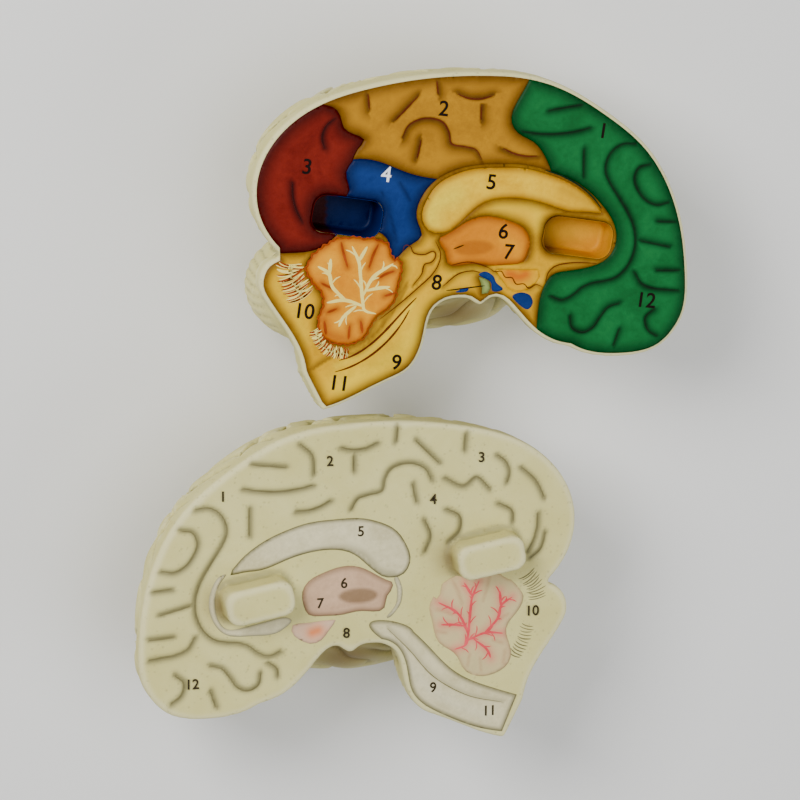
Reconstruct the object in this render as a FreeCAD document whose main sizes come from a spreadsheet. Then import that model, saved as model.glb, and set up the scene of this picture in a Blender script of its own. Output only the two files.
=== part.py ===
import FreeCAD, Part

import math
import os

import MeshPart

# A foam brain model cut down its middle, as two halves that plug together.
# Each half is first made about its own face: the flat cut face lies in the plane of X and Y with its
# print on top, the forehead points to +X, the crown to +Y, and the domed outer side hangs below.
# The halves are then set side by side, cut faces up, resting on the flats of their domes.
# All lengths are in millimetres.

SIZES = (
    # cut face
    ("face_length", 144.8),
    ("face_height", 107.7),
    # domed outer side
    ("half_depth", 54.0),
    ("dome_overrun", 3.0),
    ("dome_fullness", 2.3),
    ("rim_depth", 7.0),
    ("temporal_length", 76.0),
    ("temporal_height", 42.0),
    ("temporal_depth", 44.0),
    ("cerebellum_length", 46.0),
    ("cerebellum_height", 36.0),
    ("cerebellum_depth", 60.0),
    ("folia_pitch", 4.6),
    ("folia_radius", 0.9),
    ("pons_radius", 15.0),
    ("stem_end_radius", 10.0),
    ("sulcus_radius", 1.7),
    # sockets of the coloured half and pegs of the cream half
    ("socket_length", 23.5),
    ("socket_width", 12.5),
    ("socket_corner", 4.5),
    ("socket_depth", 11.5),
    ("peg_clearance", 0.5),
    ("peg_end_gap", 1.0),
    # print on the cut faces
    ("print_thickness", 0.35),
    ("print_margin", 1.2),
    ("line_thickness", 0.2),
    ("sulcus_line_width", 0.8),
    ("branch_width", 1.3),
    ("band_width", 0.9),
    # lay-out of the pair
    ("side_step", 36.0),
    ("row_gap", 4.5),
)

# Face size at which the outlines below were drawn
DRAWN_LENGTH = 144.8
DRAWN_HEIGHT = 107.7
DRAWN_DEPTH = 54.0

# Cerebrum at the cut face, anticlockwise from the crown. Its lower edge runs inside the brainstem's
# outline.
CEREBRUM = (
    (9.3, 53.0), (-12.2, 53.4), (-34.7, 50.6), (-52.3, 45.2), (-65.1, 35.5), (-71.4, 23.2), (-71.3, 11.5),
    (-66.0, 1.0), (-58.0, -6.0), (-42.0, -10.5), (-22.0, -13.0), (0.0, -14.5), (14.0, -17.5),
    (22.0, -25.5), (28.0, -33.0), (34.5, -38.2), (41.7, -40.7), (49.5, -41.4), (57.3, -40.9),
    (63.2, -38.9), (68.1, -34.5), (71.5, -28.7), (72.7, -15.0), (71.5, -3.2), (67.1, 12.5),
    (58.3, 27.1), (44.6, 38.9), (27.0, 49.1),
)
CEREBRUM_CENTRE = (0.0, 6.0)
SECTION_SHARES = (-0.05, 0.0, 0.11, 0.25, 0.42, 0.60, 0.74, 0.84, 0.91, 0.965)

# Underside of the cut face, in runs with a corner between one and the next: back of the cerebellum,
# end of the brainstem, its front up to the frontal lobe, and a closing run inside the cerebrum
UNDERSIDE = (
    ((-57.0, 0.5), (-62.3, -3.0), (-67.2, -5.4), (-69.4, -9.4), (-69.6, -13.0), (-67.6, -17.4),
     (-64.1, -22.7), (-59.2, -30.2), (-55.3, -41.4)),
    ((-55.3, -41.4), (-48.9, -54.1)),
    ((-48.9, -54.1), (-40.9, -51.7), (-32.8, -48.1), (-26.7, -45.5), (-20.5, -42.4), (-16.4, -36.5),
     (-14.4, -29.0), (-12.6, -23.4), (-8.5, -20.3), (-3.4, -19.6), (0.0, -20.4), (3.1, -22.3),
     (6.7, -20.0), (10.3, -20.5), (13.3, -23.2), (17.2, -27.7), (22.1, -32.6), (27.0, -35.6),
     (34.0, -37.4)),
    ((34.0, -37.4), (38.0, -30.0)),
    ((38.0, -30.0), (0.0, 10.0)),
    ((0.0, 10.0), (-57.0, 0.5)),
)
STEM_TOP = (-6.0, -16.0)
STEM_END = (-52.3, -47.9)
STEM_WALL = 25.0
STEM_LENGTHENING = 1.1

TEMPORAL_CENTRE = (-11.0, -14.0, -32.5)
TEMPORAL_TURN = -12.0
CEREBELLUM_CENTRE = (-46.0, -17.5, -19.0)
# Level furrows of the cerebellum: how many, the lowest one's place in steps from the middle, how far
# they run along the lobe and how near they come to its top and bottom, as shares of its size
FOLIA_COUNT = 5
FOLIA_LEVEL = -3.2
FOLIA_SPAN = 0.68
FOLIA_REACH = 0.9

# Furrows of the domed side as it is seen from outside, forehead to +X
SULCI = (
    # lateral fissure, along the upper edge of the temporal lobe
    ((33.0, -17.0), (22.0, -6.5), (6.0, -1.5), (-12.0, 2.5), (-28.0, 8.0), (-38.0, 14.5)),
    # central sulcus
    ((4.0, 4.5), (0.0, 15.0), (2.5, 26.0), (-4.0, 38.0), (-5.5, 47.5)),
    # precentral sulcus
    ((14.0, 1.5), (13.0, 12.0), (15.5, 23.0), (9.5, 34.5), (8.5, 43.5)),
    # postcentral sulcus
    ((-9.5, 9.0), (-11.5, 20.0), (-9.5, 28.5), (-16.5, 38.0), (-18.5, 45.5)),
    # superior, middle and inferior frontal sulci
    ((20.0, 37.5), (29.0, 33.5), (38.0, 31.5), (48.5, 23.5), (55.0, 18.0)),
    ((21.0, 25.5), (31.0, 23.0), (40.0, 17.5), (51.5, 11.5), (60.0, 3.5)),
    ((19.5, 12.0), (28.0, 12.5), (36.5, 6.5), (46.0, 1.5), (55.5, -8.0)),
    # short furrows of the frontal lobe
    ((32.5, 0.5), (41.0, -7.0), (48.5, -16.5)),
    ((29.0, -4.0), (36.5, -11.5), (41.5, -21.5)),
    ((61.0, -4.5), (64.0, -14.5), (62.5, -24.5)),
    ((46.0, -23.5), (53.5, -20.5), (60.0, -29.0)),
    # intraparietal sulcus and its neighbours
    ((-20.5, 20.5), (-25.5, 29.5), (-36.0, 33.0), (-46.5, 29.0)),
    ((-25.0, 40.5), (-35.0, 43.0), (-45.5, 38.5)),
    ((-24.0, 14.0), (-31.5, 21.5), (-41.0, 21.5), (-47.5, 15.0)),
    # occipital lobe
    ((-52.5, 34.5), (-58.0, 26.5), (-56.5, 18.5)),
    ((-64.5, 22.0), (-61.0, 12.0), (-63.5, 5.0)),
    ((-50.5, 9.5), (-57.0, 11.0), (-56.0, 2.0)),
    # superior and inferior temporal sulci
    ((22.0, -16.0), (8.0, -9.5), (-10.0, -5.5), (-26.0, -0.5), (-39.0, 5.0)),
    ((21.0, -25.5), (6.0, -20.0), (-11.0, -15.5), (-27.0, -9.5), (-40.0, -3.0)),
    # furrow along the lower side of the temporal lobe
    ((16.0, -31.5), (3.0, -29.5), (-11.0, -26.0), (-23.0, -20.5)),
)

# Short furrows of the dome's wall, which stand between the rim and the sulci. They are spread from the
# notch round by the forehead, the crown and the back, by shares of the cerebrum's outline from its crown
WALL_FURROW_COUNT = 17
WALL_FURROW_STRETCH = (0.555, 1.285)
# Depths below the face between which they run, and how far they slant and bend along the outline, each
# taken in turn
WALL_FURROW_DEPTHS = ((10.0, 23.0), (12.0, 29.0), (9.0, 19.0), (13.0, 26.0))
WALL_FURROW_SLANTS = (0.016, -0.02, 0.027)
WALL_FURROW_BENDS = (0.006, -0.008)
WALL_FURROW_STEPS = 3

# Fields of colour on the cut face
CORE = (
    (-74.8, -4.1), (-61.1, -2.2), (-48.4, -0.3), (-42.5, 4.2), (-30.8, 3.2), (-27.9, 0.7), (-25.9, -6.1),
    (-21.4, -2.3), (-16.6, 1.4), (-18.2, 6.6), (-17.3, 12.8), (-13.3, 18.2), (-7.1, 21.7), (0.0, 23.3),
    (8.0, 23.5), (16.9, 22.9), (25.4, 20.6), (32.9, 17.4), (38.3, 13.7), (42.7, 9.3), (46.3, 4.4),
    (48.1, -0.5), (47.8, -5.0), (44.7, -9.3), (39.2, -11.4), (32.0, -12.3), (26.9, -13.4), (24.0, -17.4),
    (22.4, -23.7), (21.0, -38.0), (0.0, -62.0), (-60.0, -66.0), (-85.0, -30.0),
)
OCCIPITAL = (
    (-48.0, 44.8), (-43.5, 40.9), (-42.1, 36.9), (-35.7, 33.0), (-38.6, 29.1), (-39.2, 27.1),
    (-41.6, 23.2), (-40.6, 16.4), (-44.9, 13.0), (-44.9, 2.1), (-44.0, -8.0), (-80.0, -8.0),
    (-88.0, 30.0), (-56.0, 62.0),
)
TEMPORAL = (
    (-39.2, 27.1), (-28.8, 25.2), (-22.0, 22.2), (-10.2, 19.3), (-4.0, 18.0), (-4.0, -12.0),
    (-55.0, -12.0), (-55.0, 27.1),
)
FRONTAL = (
    (19.1, 53.0), (14.2, 42.8), (12.7, 36.9), (15.2, 33.0), (20.1, 30.1), (24.0, 25.2), (26.4, 19.3),
    (26.7, 6.6), (10.0, -16.0), (12.0, -60.0), (95.0, -60.0), (95.0, 70.0), (22.0, 70.0),
)
CALLOSUM = (
    (-10.7, 2.0), (-15.6, 4.4), (-16.6, 8.4), (-15.1, 12.8), (-12.0, 17.3), (-6.2, 20.6), (0.0, 22.2),
    (8.0, 22.3), (16.9, 21.7), (24.9, 19.5), (32.0, 16.4), (37.4, 12.8), (41.8, 8.4), (43.2, 6.1),
    (40.4, 6.3), (32.9, 7.0), (24.9, 9.7), (17.8, 11.7), (10.7, 12.4), (5.3, 11.7), (1.8, 10.1),
    (-1.8, 7.0), (-5.3, 3.9), (-8.2, 2.2),
)
THALAMUS = (
    (-10.4, 0.6), (-5.3, 3.2), (0.0, 6.0), (6.2, 6.6), (12.5, 4.8), (16.9, 2.6), (19.1, -0.5),
    (18.7, -5.9), (17.4, -8.5), (12.5, -9.4), (6.2, -9.4), (0.0, -8.5), (-5.3, -9.0), (-7.6, -8.5),
    (-8.9, -4.1), (-10.7, -1.4),
)
HYPOTHALAMUS = (
    (8.5, -10.9), (13.0, -11.0), (18.0, -11.4), (22.8, -12.4), (22.2, -15.0), (19.4, -17.2),
    (15.8, -18.4), (12.4, -17.0), (10.0, -13.8),
)
PITUITARY = ((2.7, -13.0), (5.3, -13.9), (6.4, -16.4), (4.9, -18.6), (3.1, -18.2), (3.6, -16.2))
CEREBELLUM = (
    (-54.3, -5.9), (-51.6, -2.3), (-45.4, 1.6), (-39.2, 2.0), (-32.0, 1.2), (-27.6, -1.0), (-24.9, -4.6),
    (-23.1, -8.5), (-24.0, -13.0), (-24.9, -17.4), (-26.7, -21.0), (-31.0, -24.0), (-32.9, -26.3),
    (-34.7, -29.9), (-39.2, -32.6), (-46.3, -31.7), (-49.8, -29.0), (-50.7, -25.5), (-48.9, -17.4),
    (-54.0, -9.8),
)
BRAINSTEM = (
    ((-17.8, -16.4), (-23.1, -21.8), (-32.0, -30.7), (-43.6, -36.5), (-52.8, -39.8)),
    ((-52.8, -39.8), (-47.9, -51.8)),
    ((-47.9, -51.8), (-38.3, -49.4), (-27.6, -44.6), (-21.6, -41.0), (-17.9, -36.9), (-15.9, -29.0),
     (-14.0, -23.2), (-7.2, -18.3)),
    ((-7.2, -18.3), (-3.5, -12.5), (-10.5, -12.5), (-17.8, -16.4)),
)

# Drawn lines on the cut face
BRANCHES = (
    ((-31.6, -23.2), (-35.2, -22.0), (-36.0, -19.0), (-36.9, -9.4), (-37.4, -5.9), (-39.6, -0.9)),
    ((-37.4, -5.9), (-34.6, -1.2)),
    ((-36.0, -17.4), (-32.5, -11.2), (-26.0, -7.2)),
    ((-35.2, -15.6), (-31.0, -14.9), (-27.0, -14.7)),
    ((-35.6, -20.6), (-41.8, -18.3), (-47.8, -18.8)),
    ((-41.4, -18.4), (-45.9, -13.9), (-47.2, -9.4), (-50.8, -6.9)),
    ((-47.0, -9.8), (-46.6, -4.6)),
    ((-38.0, -20.2), (-42.3, -23.7), (-43.8, -26.8)),
)
STEM_BANDS = (
    ((-43.6, -37.8), (-32.4, -32.4), (-23.6, -23.9), (-18.2, -18.6)),
    ((-45.0, -41.5), (-34.5, -37.5), (-26.0, -30.5), (-20.5, -22.5)),
)
SULCUS_LINES = (
    ((54.4, 28.1), (45.6, 25.2), (44.1, 20.3), (46.5, 14.4), (51.4, 6.6), (54.4, -1.2), (52.4, -11.0),
     (47.5, -15.4), (37.7, -17.4), (31.9, -21.3), (26.4, -20.2)),
    ((56.2, -3.6), (66.1, -6.1)),
    ((54.6, -13.8), (57.3, -17.9), (63.2, -19.8), (69.6, -20.5)),
    ((61.8, -13.6), (69.6, -14.0)),
    ((59.3, 21.4), (53.9, 18.1), (55.4, 12.5), (59.3, 8.6), (65.6, 8.5)),
    ((62.0, 2.4), (68.2, 2.0)),
    ((36.8, 27.1), (36.8, 18.3)),
    ((15.9, 33.9), (27.0, 32.5), (38.7, 34.0)),
    ((25.0, 40.2), (35.8, 41.6)),
    ((32.8, -27.2), (34.8, -32.0), (38.7, -32.6), (42.6, -28.7), (49.5, -23.8)),
    ((49.5, -32.2), (47.7, -37.4)),
    ((61.2, -26.2), (58.3, -28.7), (59.3, -33.2), (62.4, -35.4)),
    ((-12.2, 51.3), (-11.7, 46.7)),
    ((-34.7, 48.0), (-34.2, 42.8)),
    ((-18.1, 46.7), (-25.9, 38.9)),
    ((-23.4, 33.4), (-20.6, 37.8), (-10.2, 37.9), (-8.0, 35.2), (-8.2, 32.2), (-0.4, 29.1), (3.0, 25.2)),
    ((-17.1, 32.5), (-18.4, 26.4)),
    ((-5.3, 46.7), (0.5, 44.8), (6.4, 45.7)),
    ((2.5, 42.8), (2.5, 37.9)),
    ((10.0, 28.6), (15.2, 26.2), (21.4, 25.6)),
    ((-45.5, 40.5), (-49.4, 36.0), (-48.9, 31.1)),
    ((-59.2, 20.3), (-58.2, 12.5), (-55.8, 7.6)),
)

REAR_SOCKET = (-41.2, 8.8)
FRONT_SOCKET = (35.3, -1.6)
SOCKET_TURN = -10.0

# Overlap of solids that are joined or cut
OVERCUT = 1.0

# Depth, as a share of the dome's, of the point that the furrows are aimed at
AIM_SHARE = 0.25

# Lengths of the straight runs that furrows, outlines of colour and drawn lines are made of
FURROW_RUN = 8.0
OUTLINE_RUN = 2.0
LINE_RUN = 4.0

# Height by which a level face may be off its level
LEVEL_TOLERANCE = 1e-4

# Share of the bare margin below which a point of the print's outline is left out, at tight bends
MARGIN_SHARE = 0.97

doc = FreeCAD.newDocument("brain_halves")
sheet = doc.addObject("Spreadsheet::Sheet", "sizes")
for row, (alias, value) in enumerate(SIZES, start=1):
    sheet.set("A%d" % row, alias.replace("_", " "))
    sheet.set("B%d" % row, str(value))
    sheet.setAlias("B%d" % row, alias)
doc.recompute()


def size(alias):
    """Value of one cell of the sheet."""
    return float(sheet.get(alias))


FACE_X = size("face_length") / DRAWN_LENGTH
FACE_Y = size("face_height") / DRAWN_HEIGHT
FACE_Z = size("half_depth") / DRAWN_DEPTH
DOME_REACH = size("half_depth") + size("dome_overrun")


def place(point):
    """Drawn point of the cut face or below it, at the sheet's face size and depth."""
    depth = point[2] * FACE_Z if len(point) > 2 else 0.0
    return FreeCAD.Vector(point[0] * FACE_X, point[1] * FACE_Y, depth)


def run_edge(points):
    """One edge through the points: a straight line for two, else a smooth curve."""
    if len(points) == 2:
        return Part.LineSegment(points[0], points[1]).toShape()
    curve = Part.BSplineCurve()
    curve.interpolate(Points=points)
    return curve.toShape()


def loop_wire(points):
    """Closed smooth curve through the points."""
    curve = Part.BSplineCurve()
    curve.interpolate(Points=points, PeriodicFlag=True)
    return Part.Wire([curve.toShape()])


def run_wire(runs):
    """Closed outline of runs that meet at corners."""
    return Part.Wire([run_edge([place(point) for point in run]) for run in runs])


def feature(name, shape):
    """Document object that holds a wire or curve for the features built on it."""
    item = doc.addObject("Part::Feature", name)
    item.Shape = shape
    return item


def extrude(name, outline, length, direction=1):
    """Solid of a closed outline or an area, raised or sunk by a length of the sheet."""
    item = doc.addObject("Part::Extrusion", name)
    item.Base = feature(name + "_outline", outline) if isinstance(outline, Part.Shape) else outline
    item.DirMode = "Custom"
    item.Dir = FreeCAD.Vector(0, 0, direction)
    item.Solid = True
    item.setExpression("LengthFwd", length)
    return item


def compound(name, items):
    """Group of separate solids."""
    item = doc.addObject("Part::Compound", name)
    item.Links = items
    return item


def fuse(name, items):
    """Solids joined into one."""
    item = doc.addObject("Part::MultiFuse", name)
    item.Shapes = items
    item.Refine = False
    return item


def cut(name, base, tool):
    """Base with the tool taken away."""
    item = doc.addObject("Part::Cut", name)
    item.Base = base
    item.Tool = tool
    item.Refine = False
    return item


def common(name, base, tool):
    """What the base and the tool share."""
    item = doc.addObject("Part::Common", name)
    item.Base = base
    item.Tool = tool
    item.Refine = False
    return item


def ellipsoid(name, centre, turn, prefix):
    """Ellipsoid with its own length, height and depth, about a drawn centre."""
    item = doc.addObject("Part::Ellipsoid", name)
    item.setExpression("Radius1", "sizes.%s_depth / 2" % prefix)
    item.setExpression("Radius2", "sizes.%s_length / 2" % prefix)
    item.setExpression("Radius3", "sizes.%s_height / 2" % prefix)
    item.Angle1 = -90
    item.Angle2 = 90
    item.Angle3 = 360
    item.Placement = FreeCAD.Placement(place(centre), FreeCAD.Rotation(FreeCAD.Vector(0, 0, 1), turn))
    return item


def fall(depth):
    """Share of the face outline that the dome still has at a depth below the face."""
    fullness = size("dome_fullness")
    return (1.0 - (max(depth, 0.0) / DOME_REACH) ** fullness) ** (1.0 / fullness)


# Cerebrum: sections that shrink with depth, lofted into one dome
def cerebrum_dome():
    """Loft of the cerebrum's outline, from the cut face to just past the flat of the dome."""
    centre = place(CEREBRUM_CENTRE)
    sections = []
    for number, share in enumerate(SECTION_SHARES):
        depth = share * DOME_REACH
        scale = fall(depth)
        points = [centre + (place(point) - centre) * scale for point in CEREBRUM]
        wire = loop_wire([point + FreeCAD.Vector(0, 0, -depth) for point in points])
        sections.append(feature("dome_section_%d" % number, wire))
    dome = doc.addObject("Part::Loft", "cerebrum_dome")
    dome.Sections = sections
    dome.Solid = True
    dome.Ruled = False
    return dome


# Underside: a thin rim and the brainstem's cone, both kept inside the outline of the cut face
def underside_lobe():
    """Rim and half cone whose sides are trimmed to the face outline."""
    top = place(STEM_TOP)
    axis = place(STEM_END) - top
    cone = doc.addObject("Part::Cone", "stem_cone")
    cone.setExpression("Radius1", "sizes.pons_radius")
    cone.setExpression("Radius2", "sizes.stem_end_radius")
    cone.Height = axis.Length * STEM_LENGTHENING
    cone.Angle = 360
    cone.Placement = FreeCAD.Placement(top, FreeCAD.Rotation(FreeCAD.Vector(0, 0, 1), axis))
    rim = doc.addObject("Part::Box", "underside_rim")
    rim.setExpression("Length", "2 * sizes.face_length")
    rim.setExpression("Width", "2 * sizes.face_height")
    rim.setExpression("Height", "sizes.rim_depth + %s" % (2 * OVERCUT))
    rim.setExpression("Placement.Base.x", "-sizes.face_length")
    rim.setExpression("Placement.Base.y", "-sizes.face_height")
    rim.setExpression("Placement.Base.z", "-sizes.rim_depth")
    lift = FreeCAD.Vector(0, 0, OVERCUT)
    outline = Part.Face(run_wire(UNDERSIDE).translated(lift))
    walls = feature("underside_walls", outline.extrude(FreeCAD.Vector(0, 0, -STEM_WALL * FACE_Z)))
    return common("underside_lobe", fuse("underside_block", [rim, cone]), walls)


temporal_lobe = ellipsoid("temporal_lobe", TEMPORAL_CENTRE, TEMPORAL_TURN, "temporal")
cerebellum_lobe = ellipsoid("cerebellum_lobe", CEREBELLUM_CENTRE, 0.0, "cerebellum")
lobes = fuse("lobes", [cerebrum_dome(), temporal_lobe, underside_lobe(), cerebellum_lobe])

# The dome stops at the cut face above and at its resting flat below
room = doc.addObject("Part::Box", "half_room")
room.setExpression("Length", "2 * sizes.face_length")
room.setExpression("Width", "2 * sizes.face_height")
room.setExpression("Height", "sizes.half_depth")
room.setExpression("Placement.Base.x", "-sizes.face_length")
room.setExpression("Placement.Base.y", "-sizes.face_height")
room.setExpression("Placement.Base.z", "-sizes.half_depth")
half_block = common("half_block", lobes, room)
doc.recompute()
skin = MeshPart.meshFromShape(Shape=half_block.Shape, LinearDeflection=0.1, AngularDeflection=0.3)


def on_skin(target):
    """Point of the domed side that is seen from outside at a place of the plane."""
    far = 2.0 * DOME_REACH
    centre = place(CEREBRUM_CENTRE)
    straight_up = skin.nearestFacetOnRay((target.x, target.y, -far), (0.0, 0.0, 1.0))
    deepest = min((hit[2] for hit in straight_up.values()), default=-size("rim_depth"))
    core = FreeCAD.Vector(centre.x, centre.y, AIM_SHARE * deepest)
    aim = FreeCAD.Vector(target.x, target.y, deepest) - core
    inwards = skin.nearestFacetOnRay(tuple(core + aim.normalize() * far), tuple(aim * -1.0))
    return FreeCAD.Vector(*next(iter(inwards.values())))


def furrow(name, path, alias):
    """Round furrow of straight runs through the points of a path."""
    ring = doc.addObject("Part::Circle", name + "_ring")
    ring.setExpression("Radius", "sizes." + alias)
    ring.Placement = FreeCAD.Placement(path[0], FreeCAD.Rotation(FreeCAD.Vector(0, 0, 1), path[1] - path[0]))
    groove = doc.addObject("Part::Sweep", name)
    groove.Sections = [ring]
    groove.Spine = (feature(name + "_path", Part.makePolygon(path)), [])
    groove.Transition = "Right corner"
    groove.Solid = True
    groove.Frenet = False
    return groove


def under_course(points):
    """Path along the domed side, under a smooth course through points of the plane."""
    course = Part.BSplineCurve()
    course.interpolate(Points=points)
    steps = max(3, round(course.length() / FURROW_RUN))
    return [on_skin(course.value(course.parameterAtDistance(course.length() * step / steps)))
            for step in range(steps + 1)]


def sulci():
    """Furrows of the cerebrum, each along its drawn course."""
    return [furrow("sulcus_%d" % number, under_course([place(point) for point in drawn]), "sulcus_radius")
            for number, drawn in enumerate(SULCI)]


def wall_furrows():
    """Short slanting furrows, evenly spread along the dome's wall."""
    outline = Part.BSplineCurve()
    outline.interpolate(Points=[place(point) for point in CEREBRUM], PeriodicFlag=True)
    centre = place(CEREBRUM_CENTRE)
    first, last = WALL_FURROW_STRETCH
    grooves = []
    for number in range(WALL_FURROW_COUNT):
        start = first + (last - first) * number / (WALL_FURROW_COUNT - 1)
        upper, lower = WALL_FURROW_DEPTHS[number % len(WALL_FURROW_DEPTHS)]
        slant = WALL_FURROW_SLANTS[number % len(WALL_FURROW_SLANTS)]
        bend = WALL_FURROW_BENDS[number % len(WALL_FURROW_BENDS)]
        path = []
        for step in range(WALL_FURROW_STEPS + 1):
            share = step / WALL_FURROW_STEPS
            depth = (upper + (lower - upper) * share) * FACE_Z
            along = (start + slant * share + bend * math.sin(math.pi * share)) % 1.0
            spot = outline.value(outline.parameterAtDistance(outline.length() * along))
            path.append(centre + (spot - centre) * fall(depth) - FreeCAD.Vector(0, 0, depth))
        grooves.append(furrow("wall_furrow_%d" % number, path, "sulcus_radius"))
    return grooves


def folia():
    """Level furrows round the cerebellum, evenly spaced about its middle."""
    grooves = []
    centre = place(CEREBELLUM_CENTRE)
    for number in range(FOLIA_COUNT):
        rise = (number + FOLIA_LEVEL) * size("folia_pitch")
        share = 2 * rise / size("cerebellum_height")
        if abs(share) > FOLIA_REACH:
            continue
        half = FOLIA_SPAN * size("cerebellum_length") / 2 * math.sqrt(1 - share ** 2)
        middle = centre + FreeCAD.Vector(0, rise, -centre.z)
        ends = [middle + FreeCAD.Vector(side * half, 0, 0) for side in (-1, 1)]
        grooves.append(furrow("folium_%d" % number, under_course([ends[0], middle, ends[1]]), "folia_radius"))
    return grooves


furrowed = cut("furrowed_half", half_block, compound("furrows", sulci() + wall_furrows() + folia()))


def oblong_wire(where, clearance, level):
    """Rectangle with round corners about a drawn place, smaller all round by the clearance."""
    half_x = size("socket_length") / 2 - clearance
    half_y = size("socket_width") / 2 - clearance
    radius = size("socket_corner") - clearance
    corners = ((1, 1, 0), (-1, 1, 90), (-1, -1, 180), (1, -1, 270))
    arcs = []
    for side_x, side_y, first in corners:
        middle = FreeCAD.Vector(side_x * (half_x - radius), side_y * (half_y - radius), 0)
        arcs.append(Part.makeCircle(radius, middle, FreeCAD.Vector(0, 0, 1), first, first + 90))
    edges = []
    for number, arc in enumerate(arcs):
        following = arcs[(number + 1) % len(arcs)]
        edges += [arc, Part.makeLine(arc.Vertexes[1].Point, following.Vertexes[0].Point)]
    wire = Part.Wire(edges)
    spin = FreeCAD.Rotation(FreeCAD.Vector(0, 0, 1), SOCKET_TURN)
    wire.Placement = FreeCAD.Placement(place(where) + FreeCAD.Vector(0, 0, level), spin)
    return wire


SOCKETS = (("rear", REAR_SOCKET), ("front", FRONT_SOCKET))
sockets = compound("sockets", [
    extrude(side + "_socket", oblong_wire(where, 0.0, OVERCUT), "sizes.socket_depth + %s" % OVERCUT, -1)
    for side, where in SOCKETS
])
coloured_foam = cut("coloured_half_foam", furrowed, sockets)

peg_height = "sizes.socket_depth - sizes.peg_end_gap + %s" % OVERCUT
pegs = [
    extrude(side + "_peg", oblong_wire(where, size("peg_clearance"), -OVERCUT), peg_height)
    for side, where in SOCKETS
]
pegged = fuse("pegged_half", [furrowed] + pegs)


# Print on the cut faces: one skin, divided into areas that meet edge to edge
def face_inset():
    """Outline of the cut face in short straight runs, drawn in by the margin that the print leaves bare."""
    tops = [face for face in half_block.Shape.Faces if abs(face.BoundBox.ZMin) < LEVEL_TOLERANCE]
    outline = max(tops, key=lambda face: face.Area).OuterWire
    spots = outline.discretize(Distance=OUTLINE_RUN)[:-1]
    margin = size("print_margin")
    turning = sum((spots[number - 1].cross(spot)).z for number, spot in enumerate(spots))
    inward = math.copysign(margin, turning)
    inset = []
    for number, spot in enumerate(spots):
        along = (spots[(number + 1) % len(spots)] - spots[number - 1]).normalize()
        moved = spot + FreeCAD.Vector(-along.y, along.x, 0) * inward
        if outline.distToShape(Part.Vertex(moved))[0] > MARGIN_SHARE * margin:
            inset.append(moved)
    return Part.makePolygon(inset + [inset[0]])


def area(name, wire):
    """Flat area inside a closed outline."""
    return feature(name, Part.Face(wire))


def blob(name, points):
    """Flat area inside a closed smooth curve through drawn points, taken in short straight runs."""
    corners = loop_wire([place(point) for point in points]).discretize(Distance=OUTLINE_RUN)
    return area(name, Part.makePolygon(corners[:-1] + [corners[0]]))


def printed(name, flat):
    """Area raised to the thickness of the print."""
    return extrude(name, flat, "sizes.print_thickness")


def ribbon_wire(points, width, level):
    """Outline of a drawn line: its course, set off half its width to each side."""
    course = Part.BSplineCurve()
    course.interpolate(Points=[place(point) for point in points])
    steps = max(2, round(course.length() / LINE_RUN))
    sides = ([], [])
    for step in range(steps + 1):
        spot = course.parameterAtDistance(course.length() * step / steps)
        along = course.tangent(spot)[0]
        across = FreeCAD.Vector(-along.y, along.x, 0) * (width / 2)
        sides[0].append(course.value(spot) + across)
        sides[1].append(course.value(spot) - across)
    corners = sides[0] + sides[1][::-1] + [sides[0][0]]
    return Part.makePolygon([corner + FreeCAD.Vector(0, 0, level) for corner in corners])


def ribbons(name, courses, width_alias, level):
    """Drawn lines as thin solids that lie at a level above the cut face."""
    width = size(width_alias)
    return [
        extrude("%s_%d" % (name, number), ribbon_wire(course, width, level), "sizes.line_thickness")
        for number, course in enumerate(courses)
    ]


holes = compound("print_holes", [
    area(side + "_hole", oblong_wire(where, 0.0, 0.0)) for side, where in SOCKETS
])
open_face = cut("open_face", area("face_area", face_inset()), holes)
core_area = blob("core_area", CORE)
cortex = cut("cortex_area", open_face, core_area)
frontal_area = blob("frontal_side", FRONTAL)
occipital_area = blob("occipital_side", OCCIPITAL)
temporal_area = blob("temporal_side", TEMPORAL)
rear_cortex = cut("rear_cortex", cortex, frontal_area)
middle_cortex = cut("middle_cortex", rear_cortex, occipital_area)

inner_face = common("inner_face", open_face, core_area)
callosum_area = blob("callosum_area", CALLOSUM)
thalamus_area = cut("thalamus_area", blob("thalamus_outline", THALAMUS), callosum_area)
hypothalamus_area = blob("hypothalamus_area", HYPOTHALAMUS)
pituitary_area = blob("pituitary_area", PITUITARY)
cerebellum_area = common("cerebellum_area", inner_face, blob("cerebellum_outline", CEREBELLUM))
core_rest = inner_face
for taken in (callosum_area, thalamus_area, hypothalamus_area, pituitary_area, cerebellum_area):
    core_rest = cut("core_without_" + taken.Name, core_rest, taken)

print_top = size("print_thickness")
coloured_nodes = [
    coloured_foam,
    printed("coloured_core_print", core_rest),
    printed("coloured_frontal_print", common("frontal_field", cortex, frontal_area)),
    printed("coloured_occipital_print", common("occipital_field", rear_cortex, occipital_area)),
    printed("coloured_temporal_print", common("temporal_field", middle_cortex, temporal_area)),
    printed("coloured_parietal_print", cut("parietal_field", middle_cortex, temporal_area)),
    printed("coloured_callosum_print", callosum_area),
    printed("coloured_thalamus_print", thalamus_area),
    printed("coloured_hypothalamus_print", hypothalamus_area),
    printed("coloured_pituitary_print", pituitary_area),
    printed("coloured_cerebellum_print", cerebellum_area),
    fuse("coloured_arbor_vitae_lines", ribbons("branch", BRANCHES, "branch_width", print_top)),
    compound("coloured_brainstem_bands", ribbons("band", STEM_BANDS, "band_width", print_top)),
    compound("coloured_sulcus_lines", ribbons("line", SULCUS_LINES, "sulcus_line_width", print_top)),
]

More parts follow.
